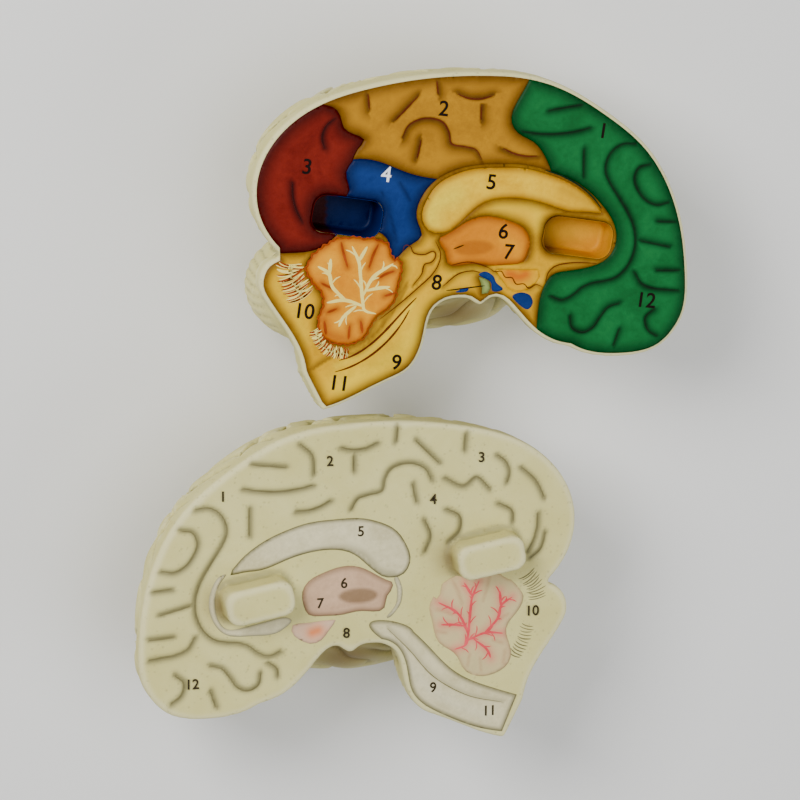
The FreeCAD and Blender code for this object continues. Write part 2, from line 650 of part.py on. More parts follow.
# The cream half has print only where the parts differ in colour; the rest of its face is bare foam
cream_stem = cut("cream_stem_area", area("stem_outline", run_wire(BRAINSTEM)), cerebellum_area)
cream_sources = (
    ("cream_half_foam", pegged),
    ("cream_callosum_print", printed("pale_callosum", callosum_area)),
    ("cream_thalamus_print", printed("pale_thalamus", thalamus_area)),
    ("cream_hypothalamus_print", printed("pale_hypothalamus", hypothalamus_area)),
    ("cream_cerebellum_print", printed("pale_cerebellum", cerebellum_area)),
    ("cream_brainstem_print", printed("pale_stem", cream_stem)),
    ("cream_arbor_vitae_lines",
     fuse("pale_branches", ribbons("pale_branch", BRANCHES, "branch_width", print_top))),
    ("cream_sulcus_lines",
     compound("pale_lines", ribbons("pale_line", SULCUS_LINES, "sulcus_line_width", 0.0))),
)


def mirrored(name, source):
    """Mirror image about the plane across the face, for the other half."""
    item = doc.addObject("Part::Mirroring", name)
    item.Source = source
    item.Base = FreeCAD.Vector(0, 0, 0)
    item.Normal = FreeCAD.Vector(1, 0, 0)
    return item


cream_nodes = [mirrored(name, source) for name, source in cream_sources]
doc.recompute()


# Lay-out: the coloured half behind and to the right, the cream half in front and to the left,
# the pair centred over the origin and standing on it
def lay_out():
    """Move both halves to their places."""
    step = FreeCAD.Vector(size("side_step"), size("face_height") + size("row_gap"), 0) * 0.5
    centring = FreeCAD.Vector(0, -skin.BoundBox.Center.y, size("half_depth"))
    for node in coloured_nodes:
        node.Placement = FreeCAD.Placement(step + centring, FreeCAD.Rotation())
    for node in cream_nodes:
        node.Placement = FreeCAD.Placement(centring - step, FreeCAD.Rotation())


def confirm_sound():
    """Stop if any object failed, or if a sub-part has no valid solid."""
    failed = [item.Label for item in doc.Objects if "Invalid" in item.State or "Error" in item.State]
    if failed:
        raise RuntimeError("failed: " + ", ".join(failed))
    for node in nodes:
        if node.Shape.isNull() or not node.Shape.isValid() or not node.Shape.Solids:
            raise RuntimeError("%s has no sound shape" % node.Label)


nodes = coloured_nodes + cream_nodes
confirm_sound()
lay_out()
doc.recompute()
confirm_sound()

os.makedirs("parts", exist_ok=True)
for node in nodes:
    node.Shape.exportStep(os.path.join("parts", node.Label + ".step"))
    print("%-32s %2d solids %10.1f mm3" % (node.Label, len(node.Shape.Solids), node.Shape.Volume))
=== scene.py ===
"""Looks of a soft foam brain model that is cut down its middle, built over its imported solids.

The two halves lie apart with their cut faces up. Each is a moulded foam body with folds on its
domed side, and its face carries fields of airbrushed ink, drawn lines and plain numbers.
"""

import logging
import math
from collections.abc import Iterator
from dataclasses import dataclass, field
from enum import Enum
from functools import cache

import bmesh
import bpy
import numpy as np
from mathutils import Matrix, Vector
from mathutils.geometry import delaunay_2d_cdt


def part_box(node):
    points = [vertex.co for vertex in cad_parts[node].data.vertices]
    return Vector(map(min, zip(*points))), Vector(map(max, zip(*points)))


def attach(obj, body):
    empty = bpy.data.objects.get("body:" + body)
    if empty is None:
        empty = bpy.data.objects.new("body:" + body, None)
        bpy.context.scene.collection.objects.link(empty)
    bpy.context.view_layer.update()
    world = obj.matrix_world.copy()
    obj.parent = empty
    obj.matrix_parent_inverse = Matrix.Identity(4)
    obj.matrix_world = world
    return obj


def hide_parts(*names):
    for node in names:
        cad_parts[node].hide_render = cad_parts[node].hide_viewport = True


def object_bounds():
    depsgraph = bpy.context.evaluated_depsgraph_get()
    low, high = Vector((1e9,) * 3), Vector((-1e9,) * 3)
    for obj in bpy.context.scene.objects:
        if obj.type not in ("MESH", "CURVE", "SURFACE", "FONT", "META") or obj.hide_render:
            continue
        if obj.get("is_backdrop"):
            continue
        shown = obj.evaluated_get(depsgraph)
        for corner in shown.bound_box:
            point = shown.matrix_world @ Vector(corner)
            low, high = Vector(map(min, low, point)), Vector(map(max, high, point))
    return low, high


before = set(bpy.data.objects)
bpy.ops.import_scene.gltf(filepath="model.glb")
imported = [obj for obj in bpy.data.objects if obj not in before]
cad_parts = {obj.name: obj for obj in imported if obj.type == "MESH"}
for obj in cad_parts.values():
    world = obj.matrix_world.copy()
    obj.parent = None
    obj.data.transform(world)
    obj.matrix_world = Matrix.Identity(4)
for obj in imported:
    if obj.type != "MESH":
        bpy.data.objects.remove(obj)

MM = 0.001
BATCH = 4000
LOOSE_GAP = 2e-6
FINE_RUN = 0.6
FADE_RATE = 2.0
FADE_CURVE = 1.6
Place = tuple[float, float]
Course = tuple[Place, ...]
Lines = list[np.ndarray]
Socket = bpy.types.NodeSocket
Item = bpy.types.Object
log = logging.getLogger("brain_halves")


class Half(Enum):
    """The two halves of the model, by the first word of their nodes' names."""

    COLOURED = "coloured"
    CREAM = "cream"


class Channel(Enum):
    """Vertex values that the inks read: shade towards the deep colour, tone towards the light one."""

    SHADE = "shade"
    TONE = "tone"


# Small tools for curves


def linear(code: str) -> tuple[float, ...]:
    """Turn a colour code into the linear values that a shader takes.

    Args:
        code: Six hexadecimal digits, red first.

    Returns:
        Red, green, blue and an alpha of one.
    """
    parts = [int(code[start:start + 2], 16) / 255 for start in (0, 2, 4)]
    return tuple(part / 12.92 if part <= 0.04045 else ((part + 0.055) / 1.055) ** 2.4
                 for part in parts) + (1.0,)


def ease(values: np.ndarray, low: float, high: float) -> np.ndarray:
    """Rise smoothly from 0 at low to 1 at high."""
    share = np.clip((values - low) / (high - low), 0.0, 1.0)
    return share * share * (3 - 2 * share)


def bell(distance: np.ndarray, width: float) -> np.ndarray:
    """Fall softly from 1 at no distance to a third at the width and to nothing past it."""
    return np.exp(-((distance / width) ** 2))


def smooth_course(course: Course, run: float = 0.8, closed: bool = False) -> np.ndarray:
    """Lead a smooth curve through the places of a course.

    Args:
        course: Places on the cut face, in millimetres.
        run: Wanted distance between the points that come out.
        closed: Whether the course returns to its first place.

    Returns:
        Points of the curve, one in each row.
    """
    spots = np.array(course, float)
    if len(spots) == 2 and not closed:
        steps = max(1, int(np.ceil(np.linalg.norm(spots[1] - spots[0]) / run)))
        return spots[0] + np.linspace(0, 1, steps + 1)[:, None] * (spots[1] - spots[0])
    if closed:
        padded = np.vstack([spots[-1], spots, spots[0], spots[1]])
    else:
        padded = np.vstack([2 * spots[0] - spots[1], spots, 2 * spots[-1] - spots[-2]])
    points = []
    for before, start, end, after in zip(padded, padded[1:], padded[2:], padded[3:]):
        steps = max(1, int(np.ceil(np.linalg.norm(end - start) / run)))
        t = np.linspace(0, 1, steps, endpoint=False)[:, None]
        bend = 2 * before - 5 * start + 4 * end - after
        twist = 3 * start - before - 3 * end + after
        points.append(0.5 * (2 * start + (end - before) * t + bend * t ** 2 + twist * t ** 3))
    if not closed:
        points.append(spots[-1:])
    return np.vstack(points)


def smooth_all(courses: tuple[Course, ...]) -> Lines:
    """Lead a smooth curve through each course."""
    return [smooth_course(course) for course in courses]


def closed_up(loops: Lines) -> Lines:
    """Lead each loop back to its first point."""
    return [np.vstack([loop, loop[:1]]) for loop in loops]


def stepped(loop: np.ndarray, run: float) -> np.ndarray:
    """Set points at even steps along the straight sides of a closed loop."""
    return np.vstack([smooth_course((tuple(a), tuple(b)), run)[:-1]
                      for a, b in zip(loop, np.roll(loop, -1, axis=0))])


def batches(points: np.ndarray) -> Iterator[tuple[slice, np.ndarray]]:
    """Hand out points in batches that fit the memory, each with its place in the whole."""
    for first in range(0, len(points), BATCH):
        part = slice(first, first + BATCH)
        yield part, points[part]


def nearest_on(points: np.ndarray, lines: Lines) -> tuple[np.ndarray, np.ndarray]:
    """Measure points against the nearest of several lines.

    Args:
        points: Places on the cut face, one in each row.
        lines: Lines of points, at least one.

    Returns:
        Distance to the nearest line, and 1 to the left of that line or -1 to its right.
    """
    starts = np.vstack([line[:-1] for line in lines])
    runs = np.vstack([line[1:] - line[:-1] for line in lines])
    lengths = np.maximum((runs ** 2).sum(1), 1e-12)
    distance, side = np.empty(len(points)), np.empty(len(points))
    for part, some in batches(points):
        offset = some[:, None, :] - starts[None]
        share = np.clip((offset * runs).sum(2) / lengths, 0, 1)
        gap = offset - share[..., None] * runs
        away = (gap ** 2).sum(2)
        best = away.argmin(1)
        row = np.arange(len(some))
        distance[part] = np.sqrt(away[row, best])
        cross = runs[best, 0] * gap[row, best, 1] - runs[best, 1] * gap[row, best, 0]
        side[part] = np.where(cross >= 0, 1.0, -1.0)
    return distance, side


def inside(points: np.ndarray, loops: Lines) -> np.ndarray:
    """Tell which points lie inside closed loops, holes taken out.

    Args:
        points: Places on the cut face.
        loops: Outlines, holes among them.

    Returns:
        True for each point inside.
    """
    starts = np.vstack(loops)
    ends = np.vstack([np.roll(loop, -1, axis=0) for loop in loops])
    found = np.zeros(len(points), bool)
    for part, some in batches(points):
        level = some[:, 1:2]
        above = (starts[:, 1] > level) != (ends[:, 1] > level)
        rise = np.where(ends[:, 1] == starts[:, 1], 1e-12, ends[:, 1] - starts[:, 1])
        crossing = starts[:, 0] + (level - starts[:, 1]) * (ends[:, 0] - starts[:, 0]) / rise
        found[part] = ((above & (some[:, 0:1] < crossing)).sum(1) % 2).astype(bool)
    return found


# Small tools for meshes


def new_object(name: str, data: bpy.types.ID) -> Item:
    """Put a mesh, curve, light or camera into the scene under a name."""
    item = bpy.data.objects.new(name, data)
    bpy.context.scene.collection.objects.link(item)
    return item


def mesh_object(name: str, points: np.ndarray, faces: list) -> Item:
    """Make a smooth-shaded object from points in metres and faces.

    Args:
        name: Its name.
        points: Its points, one in each row.
        faces: Numbers of each face's points.

    Returns:
        The object.
    """
    mesh = bpy.data.meshes.new(name)
    mesh.from_pydata([tuple(point) for point in points], [], [tuple(face) for face in faces])
    mesh.validate()
    mesh.shade_smooth()
    return new_object(name, mesh)


def settled(item: Item, name: str) -> Item:
    """Replace an object, which is deleted, by a plain mesh of what its modifiers make.

    Args:
        item: Object with modifiers.
        name: Name of the object that takes its place.

    Returns:
        The plain mesh object.
    """
    bpy.context.view_layer.update()
    mesh = bpy.data.meshes.new_from_object(item.evaluated_get(bpy.context.evaluated_depsgraph_get()))
    bpy.data.objects.remove(item)
    made = new_object(name, mesh)
    mesh.name = name
    return made


def merged(mesh: bpy.types.Mesh, reach: float = LOOSE_GAP) -> bmesh.types.BMesh:
    """Read a mesh with the points joined that lie within the reach of each other.

    Args:
        mesh: The mesh, which stays as it is.
        reach: Greatest distance in metres.

    Returns:
        A working copy, to be freed.
    """
    build = bmesh.new()
    build.from_mesh(mesh)
    bmesh.ops.remove_doubles(build, verts=build.verts, dist=reach)
    return build


def written(build: bmesh.types.BMesh, mesh: bpy.types.Mesh) -> bpy.types.Mesh:
    """Write what was built into a mesh."""
    build.to_mesh(mesh)
    build.free()
    return mesh


def triples(members: bpy.types.bpy_prop_collection, key: str) -> np.ndarray:
    """Read three numbers of each member of a collection, such as the places of a mesh's points."""
    values = np.empty(len(members) * 3, np.float32)
    members.foreach_get(key, values)
    return values.reshape(-1, 3).astype(float)


def store(item: Item, name: str, values: np.ndarray) -> None:
    """Write one value for each point of a mesh, for its material to read."""
    layer = item.data.attributes.new(name, "FLOAT", "POINT")
    layer.data.foreach_set("value", np.ascontiguousarray(values, np.float32))


def store_ink(item: Item, shade: np.ndarray | None = None, tone: np.ndarray | None = None) -> None:
    """Write the shade and tone that a piece of ink reads, nothing where none is given."""
    for channel, values in ((Channel.SHADE, shade), (Channel.TONE, tone)):
        store(item, channel.value, np.zeros(len(item.data.vertices)) if values is None else values)


def dress(item: Item, finish: "InkFinish | FoamFinish", replaced: str = "") -> None:
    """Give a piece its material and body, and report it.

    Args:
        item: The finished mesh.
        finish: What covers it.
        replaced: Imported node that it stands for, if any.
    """
    item.data.materials.clear()
    item.data.materials.append(finish.material())
    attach(item, "root")
    if replaced:
        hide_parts(replaced)
    log.info("%s: %d faces", item.name, len(item.data.polygons))


class Neighbours:
    """Spreads values over a mesh from each point to those joined to it."""

    def __init__(self, mesh: bpy.types.Mesh) -> None:
        """Read which points are joined.

        Args:
            mesh: The mesh.
        """
        ends = np.empty(len(mesh.edges) * 2, np.int32)
        mesh.edges.foreach_get("vertices", ends)
        ends = ends.reshape(-1, 2)
        self.start = np.concatenate([ends[:, 0], ends[:, 1]])
        self.end = np.concatenate([ends[:, 1], ends[:, 0]])
        self.count = len(mesh.vertices)
        self.degree = np.maximum(np.bincount(self.start, minlength=self.count), 1)

    def spread(self, values: np.ndarray, times: int) -> np.ndarray:
        """Average values with their neighbours' several times.

        Args:
            values: One number, or one row of numbers, for each point.
            times: How often the averaging is repeated.

        Returns:
            The averaged values.
        """
        columns = values.reshape(self.count, -1).astype(float)
        for _ in range(times):
            means = [np.bincount(self.start, weights=column[self.end], minlength=self.count) / self.degree
                     for column in columns.T]
            columns = 0.4 * columns + 0.6 * np.stack(means, axis=1)
        return columns.reshape(values.shape)

    def hollow(self, points: np.ndarray, normals: np.ndarray, times: int) -> np.ndarray:
        """Depth at which each point lies under the mean of those around it."""
        return ((self.spread(points, times) - points) * normals).sum(1)

    def widened(self, share: np.ndarray, times: int, gain: float) -> np.ndarray:
        """Spread a share over what lies around it, and strengthen it again."""
        return np.clip(self.spread(share, times) * gain, 0, 1)

    def soften(self, points: np.ndarray, share: np.ndarray, times: int) -> np.ndarray:
        """Move points, by their share, to where spreading takes them."""
        share = share[:, None]
        return points * (1 - share) + self.spread(points, times) * share


# Where the two cut faces lie


@dataclass
class FacePlan:
    """Place, size and hand of one cut face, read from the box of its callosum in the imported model.

    Drawn places are in millimetres, forehead to +X, crown to +Y, Z up from the cut face.
    """

    half: Half
    drawn_low: Place = (-16.6, 2.01)
    drawn_high: Place = (42.99, 22.41)
    flipped: bool = field(init=False)
    scale: np.ndarray = field(init=False)
    origin: np.ndarray = field(init=False)
    ink_top: float = field(init=False)

    def __post_init__(self) -> None:
        """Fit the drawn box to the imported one."""
        self.flipped = self.half is Half.CREAM
        low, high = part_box(self.node("callosum_print"))
        hand = -1.0 if self.flipped else 1.0
        spans = ((high.x - low.x) / (self.drawn_high[0] - self.drawn_low[0]),
                 (high.y - low.y) / (self.drawn_high[1] - self.drawn_low[1]))
        self.scale = np.array([hand * spans[0], spans[1], MM])
        start = high.x if self.flipped else low.x
        self.origin = np.array([start - self.drawn_low[0] * self.scale[0],
                                low.y - self.drawn_low[1] * spans[1], low.z])
        self.ink_top = (high.z - low.z) / MM

    def node(self, part: str) -> str:
        """Name of this half's node or piece for a part."""
        return f"{self.half.value}_{part}"

    def to_row(self, places: np.ndarray, level: float = 0.0) -> np.ndarray:
        """Turn drawn places, or points with their own Z, into metres of the row frame.

        Args:
            places: Two or three numbers in each row.
            level: Height of places that have two.

        Returns:
            The points.
        """
        places = np.asarray(places, float)
        if places.shape[1] == 2:
            places = np.column_stack([places, np.full(len(places), level)])
        return self.origin + places * self.scale

    def to_drawn(self, points: np.ndarray) -> np.ndarray:
        """Turn points of the row frame into drawn millimetres."""
        return (points - self.origin) / self.scale

    def drawn_loops(self, part: str) -> Lines:
        """Read the closed outlines of a thin node's top.

        Args:
            part: The part that the node is of.

        Returns:
            One loop of drawn places for each outline, holes among them.
        """
        build = merged(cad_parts[self.node(part)].data)
        build.normal_update()
        following = {}
        for edge in build.edges:
            tops = [face for face in edge.link_faces if face.normal.z > 0.9]
            if len(tops) == 1:
                loop = next(loop for loop in tops[0].loops if loop.edge == edge)
                following.setdefault(loop.vert.index, []).append(loop.link_loop_next.vert.index)
        places = self.to_drawn(np.array([tuple(vert.co) for vert in build.verts]))[:, :2]
        build.free()
        loops = []
        while following:
            start = next(iter(following))
            ring = [start]
            while True:
                ahead = following[ring[-1]].pop()
                if not following[ring[-1]]:
                    del following[ring[-1]]
                if ahead == start or ahead not in following:
                    break
                ring.append(ahead)
            if len(ring) > 2:
                loops.append(places[ring])
        return loops

    def drawn_lines(self, part: str) -> Lines:
        """Read the middle lines of the ribbons in a node.

        Args:
            part: A part whose solids are thin ribbons.

        Returns:
            One smooth line of drawn places for each ribbon.
        """
        lines = []
        for ring in self.drawn_loops(part):
            sides = np.linalg.norm(np.roll(ring, -1, axis=0) - ring, axis=1)
            ring = np.roll(ring, -(int(sides.argmin()) + 1), axis=0)
            half = len(ring) // 2
            middle = (ring[:half] + ring[::-1][:half]) / 2
            lines.append(smooth_course(tuple(map(tuple, middle)), FINE_RUN))
        return lines

    def furrows(self) -> Lines:
        """Lines of this face's furrows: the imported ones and, on the cream half, some finer ones."""
        finer = CREAM_FURROWS if self.flipped else ()
        return self.drawn_lines("sulcus_lines") + [smooth_course(course, FINE_RUN) for course in finer]


# What is drawn on the cut face, in drawn millimetres

BRANCHES: tuple[Course, ...] = (
    ((-31.6, -23.2), (-35.2, -22.0), (-36.0, -19.0), (-36.9, -9.4), (-37.4, -5.9), (-39.6, -0.9)),
    ((-37.4, -5.9), (-34.6, -1.2)),
    ((-36.0, -17.4), (-32.5, -11.2), (-26.0, -7.2)),
    ((-35.2, -15.6), (-31.0, -14.9), (-27.0, -14.7)),
    ((-35.6, -20.6), (-41.8, -18.3), (-47.8, -18.8)),
    ((-41.4, -18.4), (-45.9, -13.9), (-47.2, -9.4), (-50.8, -6.9)),
    ((-47.0, -9.8), (-46.6, -4.6)),
    ((-38.0, -20.2), (-42.3, -23.7), (-43.8, -26.8)),
)
FOLIA_STROKES: tuple[Course, ...] = (
    ((-43.2, 0.6), (-42.4, -3.0), (-41.0, -7.6)),
    ((-30.9, -0.6), (-32.6, -4.0), (-34.0, -8.2)),
    ((-25.6, -9.6), (-28.4, -10.4), (-30.6, -11.6)),
    ((-49.6, -12.4), (-46.2, -14.2)),
    ((-47.6, -22.0), (-44.4, -20.9)),
    ((-48.6, -24.6), (-48.0, -29.2)),
    ((-40.2, -26.6), (-40.6, -31.0)),
    ((-36.6, -25.2), (-36.0, -29.2)),
    ((-25.0, -16.6), (-28.8, -17.6)),
)
COLLICULI: Course = (
    (-22.9, -3.4), (-22.2, -1.4), (-20.3, -1.9), (-19.3, -4.0), (-15.8, -4.7), (-12.9, -3.7), (-12.0, -5.2),
    (-13.2, -7.2), (-15.8, -8.0), (-16.6, -11.0), (-19.5, -14.6),
)
AQUEDUCT: Course = (
    (-12.1, -0.6), (-10.4, -4.6), (-11.2, -8.4), (-13.6, -11.8), (-18.0, -15.6), (-23.4, -20.0),
    (-30.5, -25.2),
)
STEM_GLOW: Course = ((-8.6, -21.0), (-16.0, -28.2), (-27.0, -38.4), (-42.0, -45.6))
STEM_BACK: Course = ((-21.4, -14.6), (-26.4, -23.6), (-33.4, -31.0), (-45.6, -36.4), (-53.0, -40.6))
STREAK: Course = ((-44.2, -39.6), (-33.5, -35.1), (-24.8, -27.2), (-19.4, -20.6))
FORNIX: Course = ((-6.9, -8.6), (-1.6, -7.8), (2.8, -8.8), (6.0, -10.2))
INNER_FORNIX: Course = ((-9.6, -15.4), (-4.6, -11.6), (0.4, -10.8), (3.4, -11.8))
SCALLOPS: Course = (
    (5.6, -9.9), (7.6, -11.4), (9.8, -11.3), (11.2, -13.4), (13.4, -13.6), (14.8, -15.8), (17.4, -15.8),
    (19.0, -17.4), (21.4, -16.2), (23.6, -17.2),
)
FRONT_BASE: Course = ((41.6, -10.3), (37.6, -9.9), (33.0, -9.7), (28.2, -10.4), (25.6, -12.4), (24.6, -15.6))
CALLOSUM_EDGE: Course = ((24.0, 20.9), (30.0, 18.6), (35.6, 15.3), (40.0, 11.4), (43.0, 7.6))
OUTER_STEM: Course = ((-12.0, -22.2), (-14.6, -29.6), (-16.6, -36.8), (-21.0, -42.0), (-34.0, -48.0))
BLUE_PATCHES: tuple[Course, ...] = (
    ((2.4, -12.2), (4.6, -11.2), (7.2, -12.8), (8.2, -15.0), (10.4, -17.0), (9.4, -17.8), (6.9, -17.6),
     (6.2, -14.6)),
    ((13.6, -20.0), (16.2, -18.6), (19.4, -19.6), (20.4, -22.4), (18.2, -24.2)),
    ((-5.3, -17.4), (-1.3, -16.0), (-1.6, -17.4)),
)
LEADERS: tuple[Course, ...] = (((-8.5, -16.8), (4.4, -15.8)), ((-6.2, -3.4), (-2.6, -2.2)))
INNER_THALAMUS: Course = (
    (-5.8, -3.0), (-3.0, -1.2), (1.4, -0.8), (5.6, -1.6), (7.4, -3.4), (4.4, -5.4), (-0.6, -5.9),
    (-4.6, -5.0),
)
REAR_FRINGE: Course = ((-59.8, -5.4), (-60.0, -8.4), (-58.2, -12.4), (-56.4, -16.0))
LOWER_FRINGE: Course = ((-51.8, -27.6), (-49.8, -31.6), (-46.6, -34.6), (-41.2, -35.6))
CREAM_FURROWS: tuple[Course, ...] = (
    ((20.0, 47.6), (16.0, 43.6), (15.4, 37.4)),
    ((-28.0, 34.0), (-34.0, 31.0), (-38.6, 33.6), (-43.0, 29.6)),
    ((-53.6, 36.0), (-58.4, 31.4), (-61.4, 25.6)),
    ((-46.0, 24.6), (-50.4, 22.0), (-51.0, 18.2)),
    ((-28.6, 23.6), (-33.0, 21.0), (-33.0, 16.2), (-29.6, 12.6)),
    ((-21.4, 20.4), (-23.4, 15.0), (-21.6, 9.8)),
    ((30.4, -23.6), (27.6, -25.8), (27.0, -28.4)),
    ((-62.0, 14.0), (-60.4, 8.6), (-56.8, 5.4)),
)
CREAM_FRINGES: tuple[Course, ...] = (
    ((-55.6, 0.6), (-58.4, -3.4), (-59.4, -7.6)),
    ((-56.2, -16.6), (-54.8, -21.6), (-52.0, -26.4)),
)
CREAM_STEM_LINE: Course = ((-9.0, -14.8), (-16.4, -22.4), (-24.6, -31.8), (-36.0, -38.8), (-48.2, -42.0))
PALE_PATCHES: tuple[Course, ...] = (
    ((-12.4, 2.2), (-14.0, -2.0), (-13.4, -7.0), (-10.2, -11.0), (-8.8, -11.0), (-11.8, -7.0), (-12.2, -2.2),
     (-11.2, 1.6)),
    ((22.8, -10.6), (25.6, -9.0), (34.0, -10.6), (43.0, -12.0), (46.8, -8.8), (48.0, -3.0), (46.8, 2.6),
     (44.4, 6.2), (47.2, 5.2), (49.6, 0.6), (50.0, -5.0), (47.8, -10.6), (43.6, -14.0),
     (36.0, -14.6), (28.0, -14.2)),
)

SOCKET_TURN = math.radians(-10.0)
SOCKETS: dict[str, Place] = {"rear": (-41.2, 8.8), "front": (35.3, -1.6)}
SOCKET_LENGTH = 23.5
SOCKET_WIDTH = 12.5
SOCKET_CORNER = 4.5
SOCKET_DEPTH = 11.5
LOBE_BORDER = -45.0


@dataclass(frozen=True)
class Airbrush:
    """Soft pass of the airbrush along lines of the face.

    lean is the share by which the pass is narrower on the right of its lines, or on their left.
    """

    lines: tuple[Course, ...]
    reach: float
    strength: float
    channel: Channel = Channel.SHADE
    lean: float = 0.0

    def reading(self, places: np.ndarray) -> np.ndarray:
        """Strength of the pass at each place."""
        return soft_pass(places, smooth_all(self.lines), self.reach, self.lean) * self.strength


def soft_pass(places: np.ndarray, lines: Lines, reach: float, lean: float = 0.0) -> np.ndarray:
    """Fall off softly from 1 on the lines, faster on one side where the pass leans to the other.

    Args:
        places: Places on the cut face.
        lines: Lines that the pass follows.
        reach: Distance at which it has faded.
        lean: Share by which it is narrower on the right of its lines, or on their left if negative.

    Returns:
        A share from 0 to 1 for each place.
    """
    distance, side = nearest_on(places, lines)
    width = np.where(side * lean < 0, reach * (1 - abs(lean)), reach)
    return np.exp(-FADE_RATE * (distance / width) ** FADE_CURVE)


@dataclass(frozen=True)
class Patch:
    """Soft-edged area of the face."""

    outline: Course
    edge: float
    strength: float
    channel: Channel

    def reading(self, places: np.ndarray) -> np.ndarray:
        """Strength of the patch at each place.

        Args:
            places: Places on the cut face.

        Returns:
            A share from 0 to the patch's strength for each place.
        """
        loop = smooth_course(self.outline, closed=True)
        distance, _ = nearest_on(places, closed_up([loop]))
        signed = np.where(inside(places, [loop]), distance, -distance)
        return ease(signed, -self.edge, self.edge) * self.strength


# Node trees and finishes


class Wiring:
    """Adds and joins the nodes of one tree."""

    def __init__(self, tree: bpy.types.NodeTree) -> None:
        """Take the tree that is wired."""
        self.tree = tree

    def node(self, kind: str, feeds: dict | None = None, **settings: object) -> bpy.types.Node:
        """Add a node.

        Args:
            kind: Kind of the node.
            feeds: Socket or value that each of its inputs gets, by the input's name or number.
            **settings: Its own settings, made before its inputs are fed.

        Returns:
            The node.
        """
        made = self.tree.nodes.new(kind)
        for key, value in settings.items():
            setattr(made, key, value)
        for key, value in (feeds or {}).items():
            self.feed(made.inputs[key], value)
        return made

    def feed(self, target: Socket, source: Socket | float | tuple) -> None:
        """Join a socket to the one that feeds it, or give it a value of its own.

        Args:
            target: The socket.
            source: What feeds it.
        """
        if isinstance(source, Socket):
            self.tree.links.new(source, target)
        else:
            target.default_value = source

    def math(self, operation: str, *values: Socket | float) -> Socket:
        """Work out one number from others, kept between 0 and 1 where the operation is MULTIPLY_ADD."""
        clamped = operation == "MULTIPLY_ADD"
        feeds = dict(enumerate(values))
        return self.node("ShaderNodeMath", feeds, operation=operation, use_clamp=clamped).outputs[0]

    def spot(self) -> Socket:
        """Place on the piece, in its own metres."""
        return self.node("ShaderNodeTexCoord").outputs["Object"]

    def noise(self, where: Socket, scale: float, detail: float = 2.0, rough: float = 0.5,
              warp: float = 0.0) -> Socket:
        """Cloudy value.

        Args:
            where: The place at which it is read.
            scale: How many clouds fit into a metre.
            detail: How many finer layers it has.
            rough: How strong the finer layers are.
            warp: How far the clouds are drawn out of shape.

        Returns:
            Socket with a value of about 0 to 1.
        """
        feeds = {"Vector": where, "Scale": scale, "Detail": detail, "Roughness": rough, "Distortion": warp}
        return self.node("ShaderNodeTexNoise", feeds).outputs["Fac"]

    def mix(self, share: Socket, first: Socket | tuple, second: Socket | tuple) -> Socket:
        """Mix two colours by a share."""
        return self.node("ShaderNodeMix", {0: share, 6: first, 7: second}, data_type="RGBA").outputs[2]

    def declare(self, side: str, name: str, kind: str) -> bpy.types.NodeTreeInterfaceSocket:
        """Give the tree a socket on one side, INPUT or OUTPUT."""
        return self.tree.interface.new_socket(name, in_out=side, socket_type="NodeSocket" + kind)


class ShaderGroup(Wiring):
    """Shader node group with named inputs and outputs."""

    def __init__(self, name: str, inputs: dict[str, float | tuple]) -> None:
        """Start a group.

        Args:
            name: Its name.
            inputs: Usual value of each input, four numbers for a colour.
        """
        super().__init__(bpy.data.node_groups.new(name, "ShaderNodeTree"))
        for label, value in inputs.items():
            kind = "Color" if isinstance(value, tuple) else "Float"
            self.declare("INPUT", label, kind).default_value = value
        self.given = self.node("NodeGroupInput").outputs

    def handed_out(self, **outputs: Socket) -> bpy.types.NodeTree:
        """Name the outputs with the sockets that feed them, and hand out the finished group.

        Args:
            **outputs: Socket that feeds each output, by the output's name.

        Returns:
            The group.
        """
        for label, source in outputs.items():
            self.declare("OUTPUT", label, "Color" if source.type == "RGBA" else "Float")
        self.node("NodeGroupOutput", outputs)
        return self.tree


@cache
def foam_grain_group() -> bpy.types.NodeTree:
    """Skin of moulded foam: fine pebbles, scattered open pores and a cloudy value for colour.

    Returns:
        Group with Pore Depth in, and Cloud, Pores and Height out.
    """
    group = ShaderGroup("foam_grain", {"Pore Depth": 1.0})
    math_of = group.math
    cloud = group.noise(group.spot(), 55.0, 4.0, 0.6, 0.4)
    pebble = group.noise(group.spot(), 1500.0, 3.0, 0.6)
    cells = group.node("ShaderNodeTexVoronoi", {"Vector": group.spot(), "Scale": 620.0}).outputs["Distance"]
    scarce = math_of("GREATER_THAN", group.noise(group.spot(), 240.0), 0.53)
    pores = math_of("MULTIPLY", math_of("MAXIMUM", math_of("SUBTRACT", 0.34, cells), 0.0), scarce)
    sunk = math_of("MULTIPLY", math_of("MULTIPLY", pores, -2.4), group.given["Pore Depth"])
    height = math_of("ADD", math_of("MULTIPLY", pebble, 0.5), sunk)
    return group.handed_out(Cloud=cloud, Pores=pores, Height=height)


